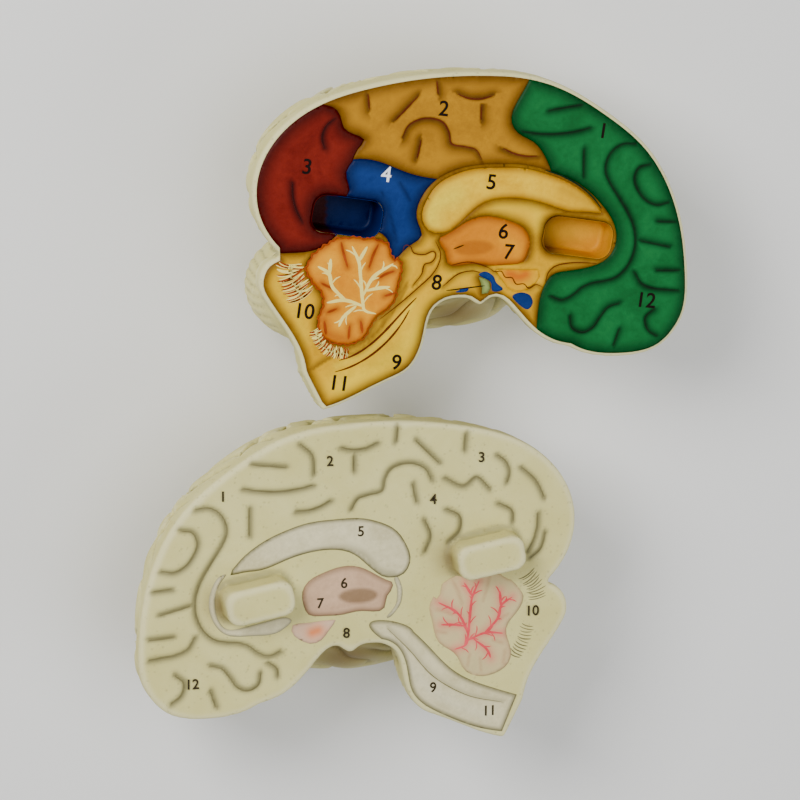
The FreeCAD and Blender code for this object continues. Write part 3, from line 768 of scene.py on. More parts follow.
@cache
def airbrush_group() -> bpy.types.NodeTree:
    """Ink that fades between three colours by the shade and tone of the place, with mottled cover.

    Returns:
        Group with Base, Deep, Light, Shade, Tone and Mottle in, and Color and Cover out.
    """
    grey = (0.5, 0.5, 0.5, 1.0)
    inputs = {"Base": grey, "Deep": grey, "Light": grey, "Shade": 0.0, "Tone": 0.0, "Mottle": 0.2}
    group = ShaderGroup("airbrushed_ink", inputs)
    given, math_of = group.given, group.math
    broad = group.noise(group.spot(), 70.0, 5.0, 0.62, 0.6)
    fine = group.noise(group.spot(), 620.0, 3.0, 0.7)
    spotty = math_of("ADD", math_of("MULTIPLY", broad, 0.7), math_of("MULTIPLY", fine, 0.3))
    dim = math_of("MULTIPLY", math_of("MULTIPLY_ADD", spotty, 3.2, -1.25), given["Mottle"])
    bright = math_of("MULTIPLY", math_of("MULTIPLY_ADD", spotty, -3.2, 1.95), given["Mottle"])
    colour = group.mix(bright, given["Base"], given["Light"])
    colour = group.mix(given["Tone"], colour, given["Light"])
    uneven = math_of("ADD", math_of("MULTIPLY", spotty, 0.5), 0.75)
    shade = math_of("MULTIPLY_ADD", given["Shade"], uneven, 0.0)
    colour = group.mix(math_of("MAXIMUM", dim, shade), colour, given["Deep"])
    return group.handed_out(Color=colour, Cover=spotty)


class Finish(Wiring):
    """Base of the finishes: one material and the nodes that every finish needs."""

    def __init__(self, name: str) -> None:
        """Start a material with its shader.

        Args:
            name: Its name.
        """
        self.material = bpy.data.materials.new(name)
        self.material.use_nodes = True
        super().__init__(self.material.node_tree)
        self.shader = self.tree.nodes["Principled BSDF"]

    def place(self, group: bpy.types.NodeTree, feeds: dict) -> bpy.types.Node:
        """Put a shared group into the material with its own values."""
        return self.node("ShaderNodeGroup", feeds, node_tree=group)

    def reading(self, name: str) -> Socket:
        """Value that is stored at each point of the piece."""
        return self.node("ShaderNodeAttribute", attribute_name=name).outputs["Fac"]

    def range(self, source: Socket, low: float, high: float) -> Socket:
        """Spread a share between two values."""
        feeds = {"Value": source, "To Min": low, "To Max": high}
        return self.node("ShaderNodeMapRange", feeds).outputs["Result"]

    def cover(self, feeds: dict, height: Socket | None = None, strength: float = 0.0,
              distance: float = 0.0) -> bpy.types.Material:
        """Feed the shader's own sockets, and let a height shade the surface.

        Args:
            feeds: Socket or value that each of the shader's sockets gets, by its name.
            height: Height of the fine grain, if the finish has any.
            strength: How strongly the grain shades the surface.
            distance: How high the grain stands, in metres.

        Returns:
            The finished material.
        """
        for key, value in feeds.items():
            self.feed(self.shader.inputs[key], value)
        if height is not None:
            grain = {"Strength": strength, "Distance": distance, "Height": height}
            self.feed(self.shader.inputs["Normal"], self.node("ShaderNodeBump", grain).outputs["Normal"])
        return self.material


@dataclass(frozen=True)
class InkFinish:
    """Airbrushed ink with a soft sheen on the foam's skin."""

    name: str
    slot: str
    base: str
    deep: str
    light: str
    mottle: float = 0.25
    glossiest: float = 0.36
    dullest: float = 0.6
    sheen: float = 0.12
    grain: float = 0.35

    @cache
    def material(self) -> bpy.types.Material:
        """Build the material once and hand it out.

        Returns:
            The material.
        """
        finish = Finish(self.name)
        shade, tone = (finish.reading(channel.value) for channel in Channel)
        ink = finish.place(airbrush_group(), {
            "Base": linear(self.base), "Deep": linear(self.deep), "Light": linear(self.light),
            "Mottle": self.mottle, "Shade": shade, "Tone": tone,
        })
        skin = finish.place(foam_grain_group(), {"Pore Depth": self.grain})
        feeds = {"Base Color": ink.outputs["Color"], "Specular IOR Level": self.sheen,
                 "Roughness": finish.range(ink.outputs["Cover"], self.glossiest, self.dullest)}
        return finish.cover(feeds, skin.outputs["Height"], self.grain, 0.00025)


@dataclass(frozen=True)
class FoamFinish:
    """Bare moulded foam with painted shade in its folds and pores, a painted brown shade in its lower hollow
    and at the pegs' ends, and paler ridges and edges.
    """

    name: str = "cream_moulded_foam"
    slot: str = "cream_foam"
    base: str = "D9D28E"
    cloud: str = "CBC27A"
    # Colour of the painted shade in the folds and in the open pores.
    fold: str = "8C8656"
    # Colour of the painted brown shade in the hollow under the temporal lobe and at one end of each peg.
    stain: str = "6C5228"
    line: str = "625C38"
    # Colour of the paler ridges and edges.
    wear: str = "E6E0B0"

    @cache
    def material(self) -> bpy.types.Material:
        """Build the material once and hand it out.

        Returns:
            The material.
        """
        finish = Finish(self.name)
        skin = finish.place(foam_grain_group(), {"Pore Depth": 1.0}).outputs
        layers = (
            (skin["Cloud"], -0.5, 1.6, self.cloud),
            # Paler on the ridges and edges.
            (finish.reading("wear"), 0.0, 0.55, self.wear),
            # Painted shade in the folds.
            (finish.reading("fold"), 0.0, 0.85, self.fold),
            # Painted brown shade in the lower hollow and at the pegs' ends.
            (finish.reading("stain"), 0.0, 0.85, self.stain),
            (finish.reading("line"), 0.0, 0.8, self.line),
            # Painted shade in the open pores.
            (skin["Pores"], 0.0, 1.2, self.fold),
        )
        colour = linear(self.base)
        for source, low, high, code in layers:
            colour = finish.mix(finish.range(source, low, high), colour, linear(code))
        feeds = {"Base Color": colour, "Roughness": finish.range(skin["Cloud"], 0.52, 0.82),
                 "Subsurface Weight": 0.06, "Subsurface Radius": (0.9, 0.6, 0.35), "Subsurface Scale": 0.0015}
        return finish.cover(feeds, skin["Height"], 0.5, 0.0004)


# Foam bodies


@dataclass
class FoamBody:
    """Moulded foam of one half: even skin, folds on the dome, soft edges and shallow lines on its face."""

    plan: FacePlan
    finish: FoamFinish = field(default_factory=FoamFinish)
    skin_step: float = 0.8
    dome_start: Place = (3.0, 8.0)
    hollow_turns: int = 40
    furrow_hollow: Place = (0.15, 0.6)
    furrow_blend: tuple[int, float] = (6, 2.2)
    furrow_turns: int = 5
    edge_sharpness: float = 2.5
    edge_turns: int = 4
    fold_start: Place = (3.5, 10.0)
    fold_span: float = 17.0
    fold_depth: float = 1.0
    fold_width: float = 0.95
    shoulder_depth: float = 0.6
    shoulder_width: float = 3.0
    furrow_shoulder: float = 0.7
    furrow_shoulder_blend: tuple[int, float] = (14, 1.6)
    wander: float = 0.9
    wander_span: float = 15.0
    folium_pitch: float = 3.1
    folium_depth: float = 0.6
    groove_depth: float = 0.45
    groove_width: float = 0.8
    line_width: float = 1.15
    line_aside: float = 0.35
    face_reach: float = 0.4
    wear_turns: int = 14
    wave_count: int = 36
    seed: int = 11
    stem_top: tuple = (-6.0, -16.0, 0.0)
    stem_end: tuple = (-52.3, -47.9, 0.0)
    stem_radii: Place = (15.0, 10.0)
    cerebellum_centre: tuple = (-46.0, -17.5, -19.0)
    cerebellum_half: tuple = (23.0, 18.0, 30.0)
    cerebellum_blend: int = 12
    cerebellum_border: Place = (0.3, 0.55)
    cerebellum_turns: int = 45
    shade_place: tuple = (0.0, -28.0, -16.0)
    shade_half: tuple = (15.0, 9.0, 12.0)
    # Painted shade at one end of each peg: its offset from the socket's middle, strength, reach and height.
    peg_stain: Place = (10.6, -1.9)
    peg_stain_strength: float = 0.75
    peg_stain_reach: float = 5.6
    peg_stain_height: float = 7.0
    peg_height: float = 12.0

    def fold_distance(self, points: np.ndarray, normals: np.ndarray) -> np.ndarray:
        """Distance along the surface to the nearest valley of a winding pattern.

        Args:
            points: Points of the dome, in drawn millimetres.
            normals: Their outward directions.

        Returns:
            Distance in millimetres.
        """
        random = np.random.default_rng(self.seed)
        ways = random.normal(size=(self.wave_count, 3))
        ways *= 2 * math.pi / self.fold_span / np.linalg.norm(ways, axis=1, keepdims=True)
        ways *= random.uniform(0.82, 1.18, (self.wave_count, 1))
        phases = random.uniform(0, 2 * math.pi, self.wave_count)
        turns = points @ ways.T + phases
        height = np.cos(turns).sum(1)
        slope = -np.sin(turns) @ ways
        slope -= normals * (slope * normals).sum(1, keepdims=True)
        usual = math.sqrt(self.wave_count / 2) * 2 * math.pi / self.fold_span
        return np.abs(height) / np.hypot(np.linalg.norm(slope, axis=1), 0.35 * usual)

    def wandering(self, points: np.ndarray, normals: np.ndarray) -> np.ndarray:
        """Small moves along the surface that let straight furrows wind.

        Args:
            points: Points of the dome, in drawn millimetres.
            normals: Their outward directions.

        Returns:
            One move for each point.
        """
        random = np.random.default_rng(self.seed + 1)
        moves = np.zeros_like(points)
        for column in range(3):
            for _ in range(3):
                way = random.normal(size=3)
                way *= 2 * math.pi / self.wander_span / np.linalg.norm(way)
                moves[:, column] += np.sin(points @ way + random.uniform(0, 2 * math.pi))
        moves -= normals * (moves * normals).sum(1, keepdims=True)
        return moves * (self.wander / 2)

    def stem_share(self, points: np.ndarray) -> np.ndarray:
        """Share by which points lie on the smooth skin of the brainstem.

        Args:
            points: Points of the skin, in drawn millimetres.

        Returns:
            A share from 0 to 1 for each point.
        """
        top = np.array(self.stem_top)
        axis = np.array(self.stem_end) - top
        length = np.linalg.norm(axis)
        along = (points - top) @ (axis / length)
        away = np.linalg.norm(points - top - np.outer(along, axis / length), axis=1)
        radius = np.interp(along, (0, 1.1 * length), self.stem_radii)
        return bell(away - radius, 1.3) * ease(along, -8, -2)

    def cerebellum_share(self, points: np.ndarray) -> np.ndarray:
        """Share by which points lie on the cerebellum."""
        offset = (points - np.array(self.cerebellum_centre)) / np.array(self.cerebellum_half)
        return bell((np.linalg.norm(offset, axis=1) - 1.0) * min(self.cerebellum_half), 1.1)

    def relief(self, points: np.ndarray, normals: np.ndarray, carved: np.ndarray) -> np.ndarray:
        """Depth by which the folds sink each point of the dome.

        Args:
            points: Points of the skin, in drawn millimetres.
            normals: Their outward directions.
            carved: Share by which a furrow is carved at each point already.

        Returns:
            Depth in millimetres.
        """
        below_rim = ease(-points[:, 2], *self.fold_start)
        stem = self.stem_share(points)
        cerebellum = self.cerebellum_share(points) * (1 - stem)
        distance = self.fold_distance(points, normals)
        fold = self.fold_depth * bell(distance, self.fold_width)
        shoulder = self.shoulder_depth * bell(distance, self.shoulder_width)
        cortex = (fold * (1 - carved) + shoulder) * (1 - stem) * (1 - cerebellum)
        wander = 0.5 * np.sin(points[:, 0] * 0.21 + 1.0) + 0.4 * np.sin(points[:, 2] * 0.33)
        phase = (points[:, 1] + wander) * math.pi / self.folium_pitch
        folium = self.folium_depth * (1 - np.abs(np.sin(phase))) ** 1.6 * cerebellum
        return below_rim * (cortex + folium * (1 - carved))

    def carve(self, item: Item, around: Neighbours) -> np.ndarray:
        """Sink the folds and soften the edges of an even skin.

        The cerebellum is smoothed first, so that only its own ridges show.

        Args:
            item: The skin, which stays as it is.
            around: Which of its points are joined.

        Returns:
            The changed points, in drawn millimetres.
        """
        points = self.plan.to_drawn(triples(item.data.vertices, "co"))
        normals = self.normals(item)
        hollow = around.hollow(points, normals, self.hollow_turns)
        domed = ease(-points[:, 2], *self.dome_start)
        ridged = around.spread(self.cerebellum_share(points) * domed, self.cerebellum_blend)
        ridged = ease(ridged, *self.cerebellum_border)
        carved = ease(hollow, *self.furrow_hollow) * domed * (1 - ridged)
        points = around.soften(points, around.widened(carved, *self.furrow_blend), self.furrow_turns)
        points = around.soften(points, ridged, self.cerebellum_turns)
        points = points + self.wandering(points, normals) * domed[:, None]
        wide = around.widened(carved, *self.furrow_shoulder_blend)
        depth = self.relief(points, normals, carved) + self.furrow_shoulder * wide * domed
        edge = np.clip(-hollow * self.edge_sharpness, 0, 1) * (1 - domed)
        points = around.soften(points, edge, self.edge_turns)
        points = points - normals * depth[:, None]
        points[:, 2] = np.maximum(points[:, 2], -self.plan.origin[2] / MM)
        return points

    def normals(self, item: Item) -> np.ndarray:
        """Outward directions of the skin's points, by the hand of the drawing."""
        return triples(item.data.vertex_normals, "vector") * np.sign(self.plan.scale)

    def build(self) -> None:
        """Build and dress the body."""
        node = self.plan.node("half_foam")
        solid = merged(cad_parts[node].data)
        rough = new_object("rough_body", written(solid, bpy.data.meshes.new("rough_body")))
        even = rough.modifiers.new("even_skin", "REMESH")
        even.mode = "VOXEL"
        even.voxel_size = self.skin_step * MM
        item = settled(rough, self.plan.node("foam_body"))
        around = Neighbours(item.data)
        points = self.carve(item, around)
        near_face = np.abs(points[:, 2]) < self.face_reach
        line = np.zeros(len(points))
        if self.plan.flipped:
            distance, side = nearest_on(points[near_face, :2], self.plan.furrows())
            line[near_face] = bell(distance * side - self.line_aside, self.line_width)
            points[near_face, 2] -= self.groove_depth * bell(distance, self.groove_width)
        item.data.vertices.foreach_set("co", self.plan.to_row(points).astype(np.float32).ravel())
        item.data.update()
        item.data.shade_smooth()
        self.record(item, around, points, line)
        dress(item, self.finish, node)

    def record(self, item: Item, around: Neighbours, points: np.ndarray, line: np.ndarray) -> None:
        """Store the values that the foam's finish reads.

        Args:
            item: The finished skin.
            around: Which of its points are joined.
            points: Its points, in drawn millimetres.
            line: Share by which the shade of a drawn line lies on each point.
        """
        hollow = around.hollow(points, self.normals(item), self.wear_turns)
        # Painted shade in the folds: darker where the skin lies under the mean of the points around it.
        store(item, "fold", 0.75 * ease(hollow, 0.04, 0.34) + 0.25 * ease(hollow, 0.3, 0.8))
        # Paler where the skin stands above the points around it, on ridges and edges.
        store(item, "wear", ease(-hollow, 0.08, 0.4))
        store(item, "line", line)
        # Painted brown shade in the hollow under the temporal lobe, beside the brainstem.
        offset = (points - np.array(self.shade_place)) / np.array(self.shade_half)
        stain = bell(np.linalg.norm(offset, axis=1), 1.0)
        # On the cream half, painted shade at one end of each peg, on its side and on the face beside it.
        if self.plan.flipped:
            for centre in SOCKETS.values():
                spot = np.linalg.norm(points[:, :2] - np.array(centre) - np.array(self.peg_stain), axis=1)
                foot = bell(points[:, 2], self.peg_stain_height) * (np.abs(points[:, 2]) < self.peg_height)
                spot = bell(spot, self.peg_stain_reach) * foot * self.peg_stain_strength
                stain = np.maximum(stain, spot)
        store(item, "stain", stain)


# Print on the cut faces


def net(loops: Lines, step: float) -> tuple[np.ndarray, np.ndarray]:
    """Fill closed loops with an even net of triangles.

    Args:
        loops: Outlines in drawn millimetres, holes among them.
        step: Distance between the points of the net.

    Returns:
        Places of the net and its triangles.
    """
    rings = [stepped(loop, step) for loop in loops]
    low = np.min([ring.min(0) for ring in rings], axis=0)
    high = np.max([ring.max(0) for ring in rings], axis=0)
    rows = np.arange(low[1], high[1], step * math.sqrt(0.75))
    columns = np.arange(low[0], high[0], step)
    grid = np.array([(column + (index % 2) * step / 2, level)
                     for index, level in enumerate(rows) for column in columns])
    grid = grid[inside(grid, rings)]
    if len(grid):
        grid = grid[nearest_on(grid, closed_up(rings))[0] > 0.55 * step]
    edges = []
    for ring in rings:
        start, count = len(edges), len(ring)
        edges += [(start + number, start + (number + 1) % count) for number in range(count)]
    spots = [Vector(place) for place in np.vstack(rings + [grid])]
    flat, _, faces, _, _, _ = delaunay_2d_cdt(spots, edges, [], 0, 1e-7)
    flat = np.array([tuple(place) for place in flat])
    faces = np.array([face for face in faces if len(face) == 3])
    return flat, faces[inside(flat[faces].mean(1), rings)]


def slab(places: np.ndarray, triangles: np.ndarray, top: np.ndarray | float, bottom: float,
         flipped: bool) -> tuple[np.ndarray, list[list[int]]]:
    """Thicken a net of triangles into a closed skin.

    Args:
        places: Places of the net.
        triangles: Its triangles.
        top: Height of the upper side, one for all or one for each place.
        bottom: Height of the lower side.
        flipped: Whether the drawing is mirrored, so that its faces are turned over.

    Returns:
        Points of the upper side and of the lower one, and the faces.
    """
    count, upper = len(places), triangles.tolist()
    points = np.vstack([np.column_stack([places, np.full(count, level)]) for level in (top, bottom)])
    edges = dict.fromkeys(edge for a, b, c in upper for edge in ((a, b), (b, c), (c, a)))
    sides = [[b, a, a + count, b + count] for a, b in edges if (b, a) not in edges]
    faces = upper + (triangles[:, ::-1] + count).tolist() + sides
    return points, [face[::-1] for face in faces] if flipped else faces


@dataclass
class PrintField:
    """One field of ink: a thin skin with a fine even net, shaded along its border and by the airbrush."""

    plan: FacePlan
    part: str
    finish: InkFinish
    border_shade: float = 0.55
    border_reach: float = 1.6
    passes: tuple = ()
    lines: tuple = ()
    line_reach: float = 2.4
    line_lean: float = 0.45
    line_strength: float = 0.75
    net_step: float = 0.85
    edge_round: float = 0.22
    open_to: str = ""

    def shading(self, places: np.ndarray, rim: np.ndarray) -> dict[Channel, np.ndarray]:
        """Work out the shade and tone of the ink.

        Args:
            places: Places of the net.
            rim: Their distance to the border of the field.

        Returns:
            Values of each channel, one for each place.
        """
        shade = self.border_shade * bell(rim, self.border_reach)
        if self.open_to:
            border = closed_up(self.plan.drawn_loops(self.open_to))
            shade *= ease(nearest_on(places, border)[0], 0.3, 3.6)
        if self.lines:
            drawn = soft_pass(places, list(self.lines), self.line_reach, self.line_lean)
            shade = np.maximum(shade, drawn * self.line_strength)
        values = {Channel.SHADE: shade, Channel.TONE: np.zeros(len(places))}
        for sweep in self.passes:
            values[sweep.channel] = np.maximum(values[sweep.channel], sweep.reading(places))
        return values

    def build(self) -> None:
        """Build and dress the field."""
        loops = self.plan.drawn_loops(self.part + "_print")
        places, triangles = net(loops, self.net_step)
        used, triangles = np.unique(triangles, return_inverse=True)
        places, triangles = places[used], triangles.reshape(-1, 3)
        rim, _ = nearest_on(places, closed_up(loops))
        top = self.plan.ink_top - self.edge_round * bell(rim, 0.45)
        points, faces = slab(places, triangles, top, 0.0, self.plan.flipped)
        item = mesh_object(self.plan.node(self.part + "_ink"), self.plan.to_row(points), faces)
        store_ink(item, *(np.tile(values, 2) for values in self.shading(places, rim).values()))
        dress(item, self.finish, self.plan.node(self.part + "_print"))


class InkTree(Wiring):
    """Geometry nodes that turn courses into tracks of ink, with named inputs."""

    def __init__(self, name: str, **inputs: str) -> None:
        """Start the tree.

        Args:
            name: Its name.
            **inputs: Kind of each input, by its label with _ for a space.
        """
        super().__init__(bpy.data.node_groups.new(name, "GeometryNodeTree"))
        self.declare("OUTPUT", "Geometry", "Geometry")
        self.declare("INPUT", "Geometry", "Geometry")
        labels = {key.replace("_", " "): kind for key, kind in inputs.items()}
        labels |= {"Ink Height": "Float", "Ink": "Material"}
        self.inputs = {label: self.declare("INPUT", label, kind).identifier for label, kind in labels.items()}
        self.given = self.node("NodeGroupInput").outputs

    def tapered(self, thinnest: float = 0.22) -> Socket:
        """Share of a track's width along it, thin at its ends."""
        spot = self.node("GeometryNodeSplineParameter").outputs["Factor"]
        arch = self.math("SINE", self.math("MULTIPLY", spot, math.pi))
        return self.math("MAXIMUM", self.math("POWER", self.math("MAXIMUM", arch, 0.0), 0.32), thinnest)

    def swept(self, curve: Socket, width: str, share: Socket) -> Socket:
        """Sweep a level oblong along a curve.

        Args:
            curve: The curve.
            width: Label of the input that holds the oblong's width.
            share: Share of that width at each point of the curve.

        Returns:
            Socket with the mesh.
        """
        upright = self.node("GeometryNodeSetCurveNormal", {"Curve": curve}, mode="Z_UP")
        oblong = {"Width": self.given[width], "Height": self.given["Ink Height"]}
        profile = self.node("GeometryNodeCurvePrimitiveQuadrilateral", oblong)
        feeds = {"Curve": upright.outputs["Curve"], "Profile Curve": profile.outputs["Curve"],
                 "Scale": share, "Fill Caps": True}
        return self.node("GeometryNodeCurveToMesh", feeds).outputs["Mesh"]

    def leave(self, geometry: Socket) -> None:
        """End the tree with real faces that carry its ink."""
        real = self.node("GeometryNodeRealizeInstances", {"Geometry": geometry}).outputs["Geometry"]
        inked = self.node("GeometryNodeSetMaterial", {"Geometry": real, "Material": self.given["Ink"]})
        self.node("NodeGroupOutput", {"Geometry": inked.outputs["Geometry"]})


class LineTree(InkTree):
    """Geometry nodes that turn courses into drawn lines with tapered ends."""

    def __init__(self) -> None:
        """Build the tree."""
        super().__init__("drawn_line", Line_Width="Float", Run="Float", Unevenness="Float")
        feeds = {"Curve": self.given["Geometry"], "Length": self.given["Run"]}
        even = self.node("GeometryNodeResampleCurve", feeds, mode="LENGTH").outputs["Curve"]
        self.leave(self.swept(even, "Line Width", self.share()))

    def share(self) -> Socket:
        """Share of the width along a line: thin at its ends and a little uneven between.

        Returns:
            Socket with the share.
        """
        where = self.node("GeometryNodeInputPosition").outputs["Position"]
        swing = self.math("SUBTRACT", self.noise(where, 260.0), 0.5)
        swing = self.math("MULTIPLY", swing, self.given["Unevenness"])
        return self.math("MULTIPLY", self.tapered(), self.math("ADD", swing, 1.0))


class FringeTree(InkTree):
    """Geometry nodes that set short strokes side by side along a course."""

    def __init__(self) -> None:
        """Build the tree."""
        super().__init__("stroke_fringe", Count="Int", Seed="Int", Stroke_Length="Float",
                         Stroke_Width="Float")
        feeds = {"Curve": self.given["Geometry"], "Count": self.given["Count"]}
        spots = self.node("GeometryNodeCurveToPoints", feeds, mode="COUNT").outputs
        along = self.node("FunctionNodeAlignRotationToVector", {"Vector": spots["Tangent"]}, axis="Y")
        lean = self.chance((0.0, 0.0, -0.09), (0.0, 0.0, 0.09))
        angle = self.node("FunctionNodeEulerToRotation", {"Euler": lean})
        feeds = {"Rotation": along.outputs["Rotation"], "Rotate By": angle.outputs["Rotation"]}
        turn = self.node("FunctionNodeRotateRotation", feeds, rotation_space="LOCAL")
        scatter = self.node("GeometryNodeInstanceOnPoints", {
            "Points": spots["Points"], "Rotation": turn.outputs["Rotation"],
            "Instance": self.swept(self.stroke(), "Stroke Width", self.tapered()),
            "Scale": self.chance((0.78, 0.8, 1.0), (1.08, 1.3, 1.0)),
        })
        self.leave(scatter.outputs["Instances"])

    def stroke(self) -> Socket:
        """Curve of one stroke, sagging a little between its ends.

        Returns:
            Socket with the curve.
        """
        feeds = {"Resolution": 10}
        for end, share, sag in (("Start", -0.5, 0.0), ("Middle", 0.1, 0.16), ("End", 0.5, 0.0)):
            parts = {axis: self.math("MULTIPLY", self.given["Stroke Length"], part)
                     for axis, part in (("X", share), ("Y", sag))}
            feeds[end] = self.node("ShaderNodeCombineXYZ", parts).outputs["Vector"]
        return self.node("GeometryNodeCurveQuadraticBezier", feeds).outputs["Curve"]

    def chance(self, low: tuple, high: tuple) -> Socket:
        """Three random numbers for each stroke, between two bounds."""
        feeds = {"Min": low, "Max": high, "Seed": self.given["Seed"]}
        return self.node("FunctionNodeRandomValue", feeds, data_type="FLOAT_VECTOR").outputs["Value"]


@dataclass
class DrawnLines:
    """Lines drawn on one cut face, each a narrow raised track of ink."""

    plan: FacePlan
    part: str
    lines: Lines
    finish: InkFinish
    width: float
    level: float
    tree: InkTree
    height: float = 0.09
    unevenness: float = 0.8
    replaced: str = ""

    def courses(self) -> Item:
        """Hold the lines in a curve object, as open runs.

        Returns:
            The curve object.
        """
        curve = bpy.data.curves.new(self.part + "_courses", "CURVE")
        curve.dimensions = "3D"
        for line in self.lines:
            run = curve.splines.new("POLY")
            run.points.add(len(line) - 1)
            points = self.plan.to_row(line, self.level)
            run.points.foreach_set("co", np.column_stack([points, np.ones(len(points))]).ravel())
        return new_object(self.part + "_courses", curve)

    def sizes(self) -> dict[str, float]:
        """What the tree's own inputs get."""
        return {"Line Width": self.width * MM, "Run": FINE_RUN * MM, "Unevenness": self.unevenness}

    def build(self) -> None:
        """Build and dress the piece."""
        item = self.courses()
        maker = item.modifiers.new("ink", "NODES")
        maker.node_group = self.tree.tree
        inputs = {**self.sizes(), "Ink Height": self.height * MM, "Ink": self.finish.material()}
        for label, value in inputs.items():
            maker[self.tree.inputs[label]] = value
        item = settled(item, self.plan.node(self.part))
        item.data.shade_flat()
        store_ink(item)
        dress(item, self.finish, self.replaced and self.plan.node(self.replaced))


@dataclass
class Fringe(DrawnLines):
    """Short strokes side by side along courses of the face."""

    height: float = 0.08
    count: int = 20
    stroke: float = 6.0
    seed: int = 3

    def sizes(self) -> dict[str, float]:
        """What the tree's own inputs get."""
        return {"Count": self.count, "Stroke Length": self.stroke * MM, "Stroke Width": self.width * MM,
                "Seed": self.seed}


@dataclass
class InkPatch:
    """Small patches of ink with a firm edge, laid on a field."""

    plan: FacePlan
    part: str
    outlines: tuple[Course, ...]
    finish: InkFinish
    ground: float
    border_shade: float = 0.0
    height: float = 0.07
    overlap: float = 0.02
    step: float = 0.7

    def build(self) -> None:
        """Build and dress the patches as one piece."""
        points, faces, shades = np.empty((0, 3)), [], []
        for outline in self.outlines:
            loop = smooth_course(outline, self.step, closed=True)
            places, triangles = net([loop], self.step)
            rim, _ = nearest_on(places, closed_up([loop]))
            shades.append(np.tile(self.border_shade * bell(rim, 0.7), 2))
            top, bottom = self.ground + self.height, self.ground - self.overlap
            corners, block = slab(places, triangles, top, bottom, self.plan.flipped)
            faces += [[corner + len(points) for corner in face] for face in block]
            points = np.vstack([points, corners])
        item = mesh_object(self.plan.node(self.part), self.plan.to_row(points), faces)
        store_ink(item, np.concatenate(shades))
        dress(item, self.finish)


@dataclass
class Numbers:
    """Plain numbers printed on one cut face."""

    plan: FacePlan
    part: str
    places: dict[int, Place]
    finish: InkFinish
    height: float = 5.0
    tilt: float = -8.0
    raise_by: float = 0.06
    bolder: float = 0.08
    size_for_height: float = 1.38

    def build(self) -> None:
        """Build and dress the numbers as one piece."""
        build = bmesh.new()
        for number, place in self.places.items():
            text = bpy.data.curves.new("figure", "FONT")
            text.body = str(number)
            text.size = self.height * self.size_for_height * MM
            text.align_x = text.align_y = "CENTER"
            text.extrude = self.raise_by * MM
            text.offset = self.bolder * MM
            flat = settled(new_object("figure", text), "figure_mesh")
            spot = self.plan.to_row(np.array([place]), self.plan.ink_top + self.raise_by)[0]
            turn = Matrix.Rotation(math.radians(self.tilt), 4, "Z")
            flat.data.transform(Matrix.Translation(Vector(spot)) @ turn)
            build.from_mesh(flat.data)
            bpy.data.objects.remove(flat)
        bmesh.ops.remove_doubles(build, verts=build.verts, dist=1e-6)
        name = self.plan.node(self.part)
        item = new_object(name, written(build, bpy.data.meshes.new(name)))
        store_ink(item)
        dress(item, self.finish)


def twigs(plan: FacePlan, spacing: float, length: float, step: float = 0.5) -> Lines:
    """Lead short uneven twigs off the branches of the cerebellum, to the left and right by turns.

    Args:
        plan: The face on which they lie.
        spacing: Usual distance between two twigs along a branch.
        length: Usual length of a twig.
        step: Distance between the points of a branch and of a twig.

    Returns:
        The twigs whose ends stay clear of the field's border.
    """
    random = np.random.default_rng(21)
    starts, ends = [], []
    for course in BRANCHES:
        spine = smooth_course(course, step)
        index = int(spacing * random.uniform(0.5, 1.0) / step)
        side = 1
        while index < len(spine) - 2:
            ahead = (spine[index + 1] - spine[index]) / np.linalg.norm(spine[index + 1] - spine[index])
            angle = random.uniform(0.45, 1.15)
            aside = np.array((-ahead[1], ahead[0])) * side
            starts.append((spine[index], ahead))
            reach = length * random.uniform(0.55, 1.3)
            ends.append(spine[index] + reach * (math.cos(angle) * ahead + math.sin(angle) * aside))
            index += int(spacing * random.uniform(0.6, 1.5) / step)
            side = -side
    loops = plan.drawn_loops("cerebellum_print")
    room = nearest_on(np.array(ends), closed_up(loops))[0]
    kept = inside(np.array(ends), loops) & (room > 1.2)
    return [smooth_course((tuple(start), tuple((start + end) / 2 + 0.14 * length * ahead), tuple(end)), step)
            for (start, ahead), end, good in zip(starts, ends, kept) if good]


def wavy(loop: np.ndarray, sway: float = 0.35, wave: float = 2.6, step: float = 0.5) -> np.ndarray:
    """Let a closed line waver a little to both sides, as a drawn edge of folds does.

    Args:
        loop: The line, without its first point at the end.
        sway: How far it wavers.
        wave: Length of a wave.
        step: Distance between the points that come out.

    Returns:
        The wavering line, closed.
    """
    dense = stepped(loop, step)
    ahead = np.roll(dense, -1, axis=0) - np.roll(dense, 1, axis=0)
    ahead /= np.maximum(np.linalg.norm(ahead, axis=1, keepdims=True), 1e-9)
    run = np.arange(len(dense)) * step
    swing = sway * (np.sin(run * 2 * math.pi / wave) + 0.6 * np.sin(run * 2.9 / wave + 1.3))
    moved = dense + np.column_stack([-ahead[:, 1], ahead[:, 0]]) * swing[:, None]
    return np.vstack([moved, moved[:1]])


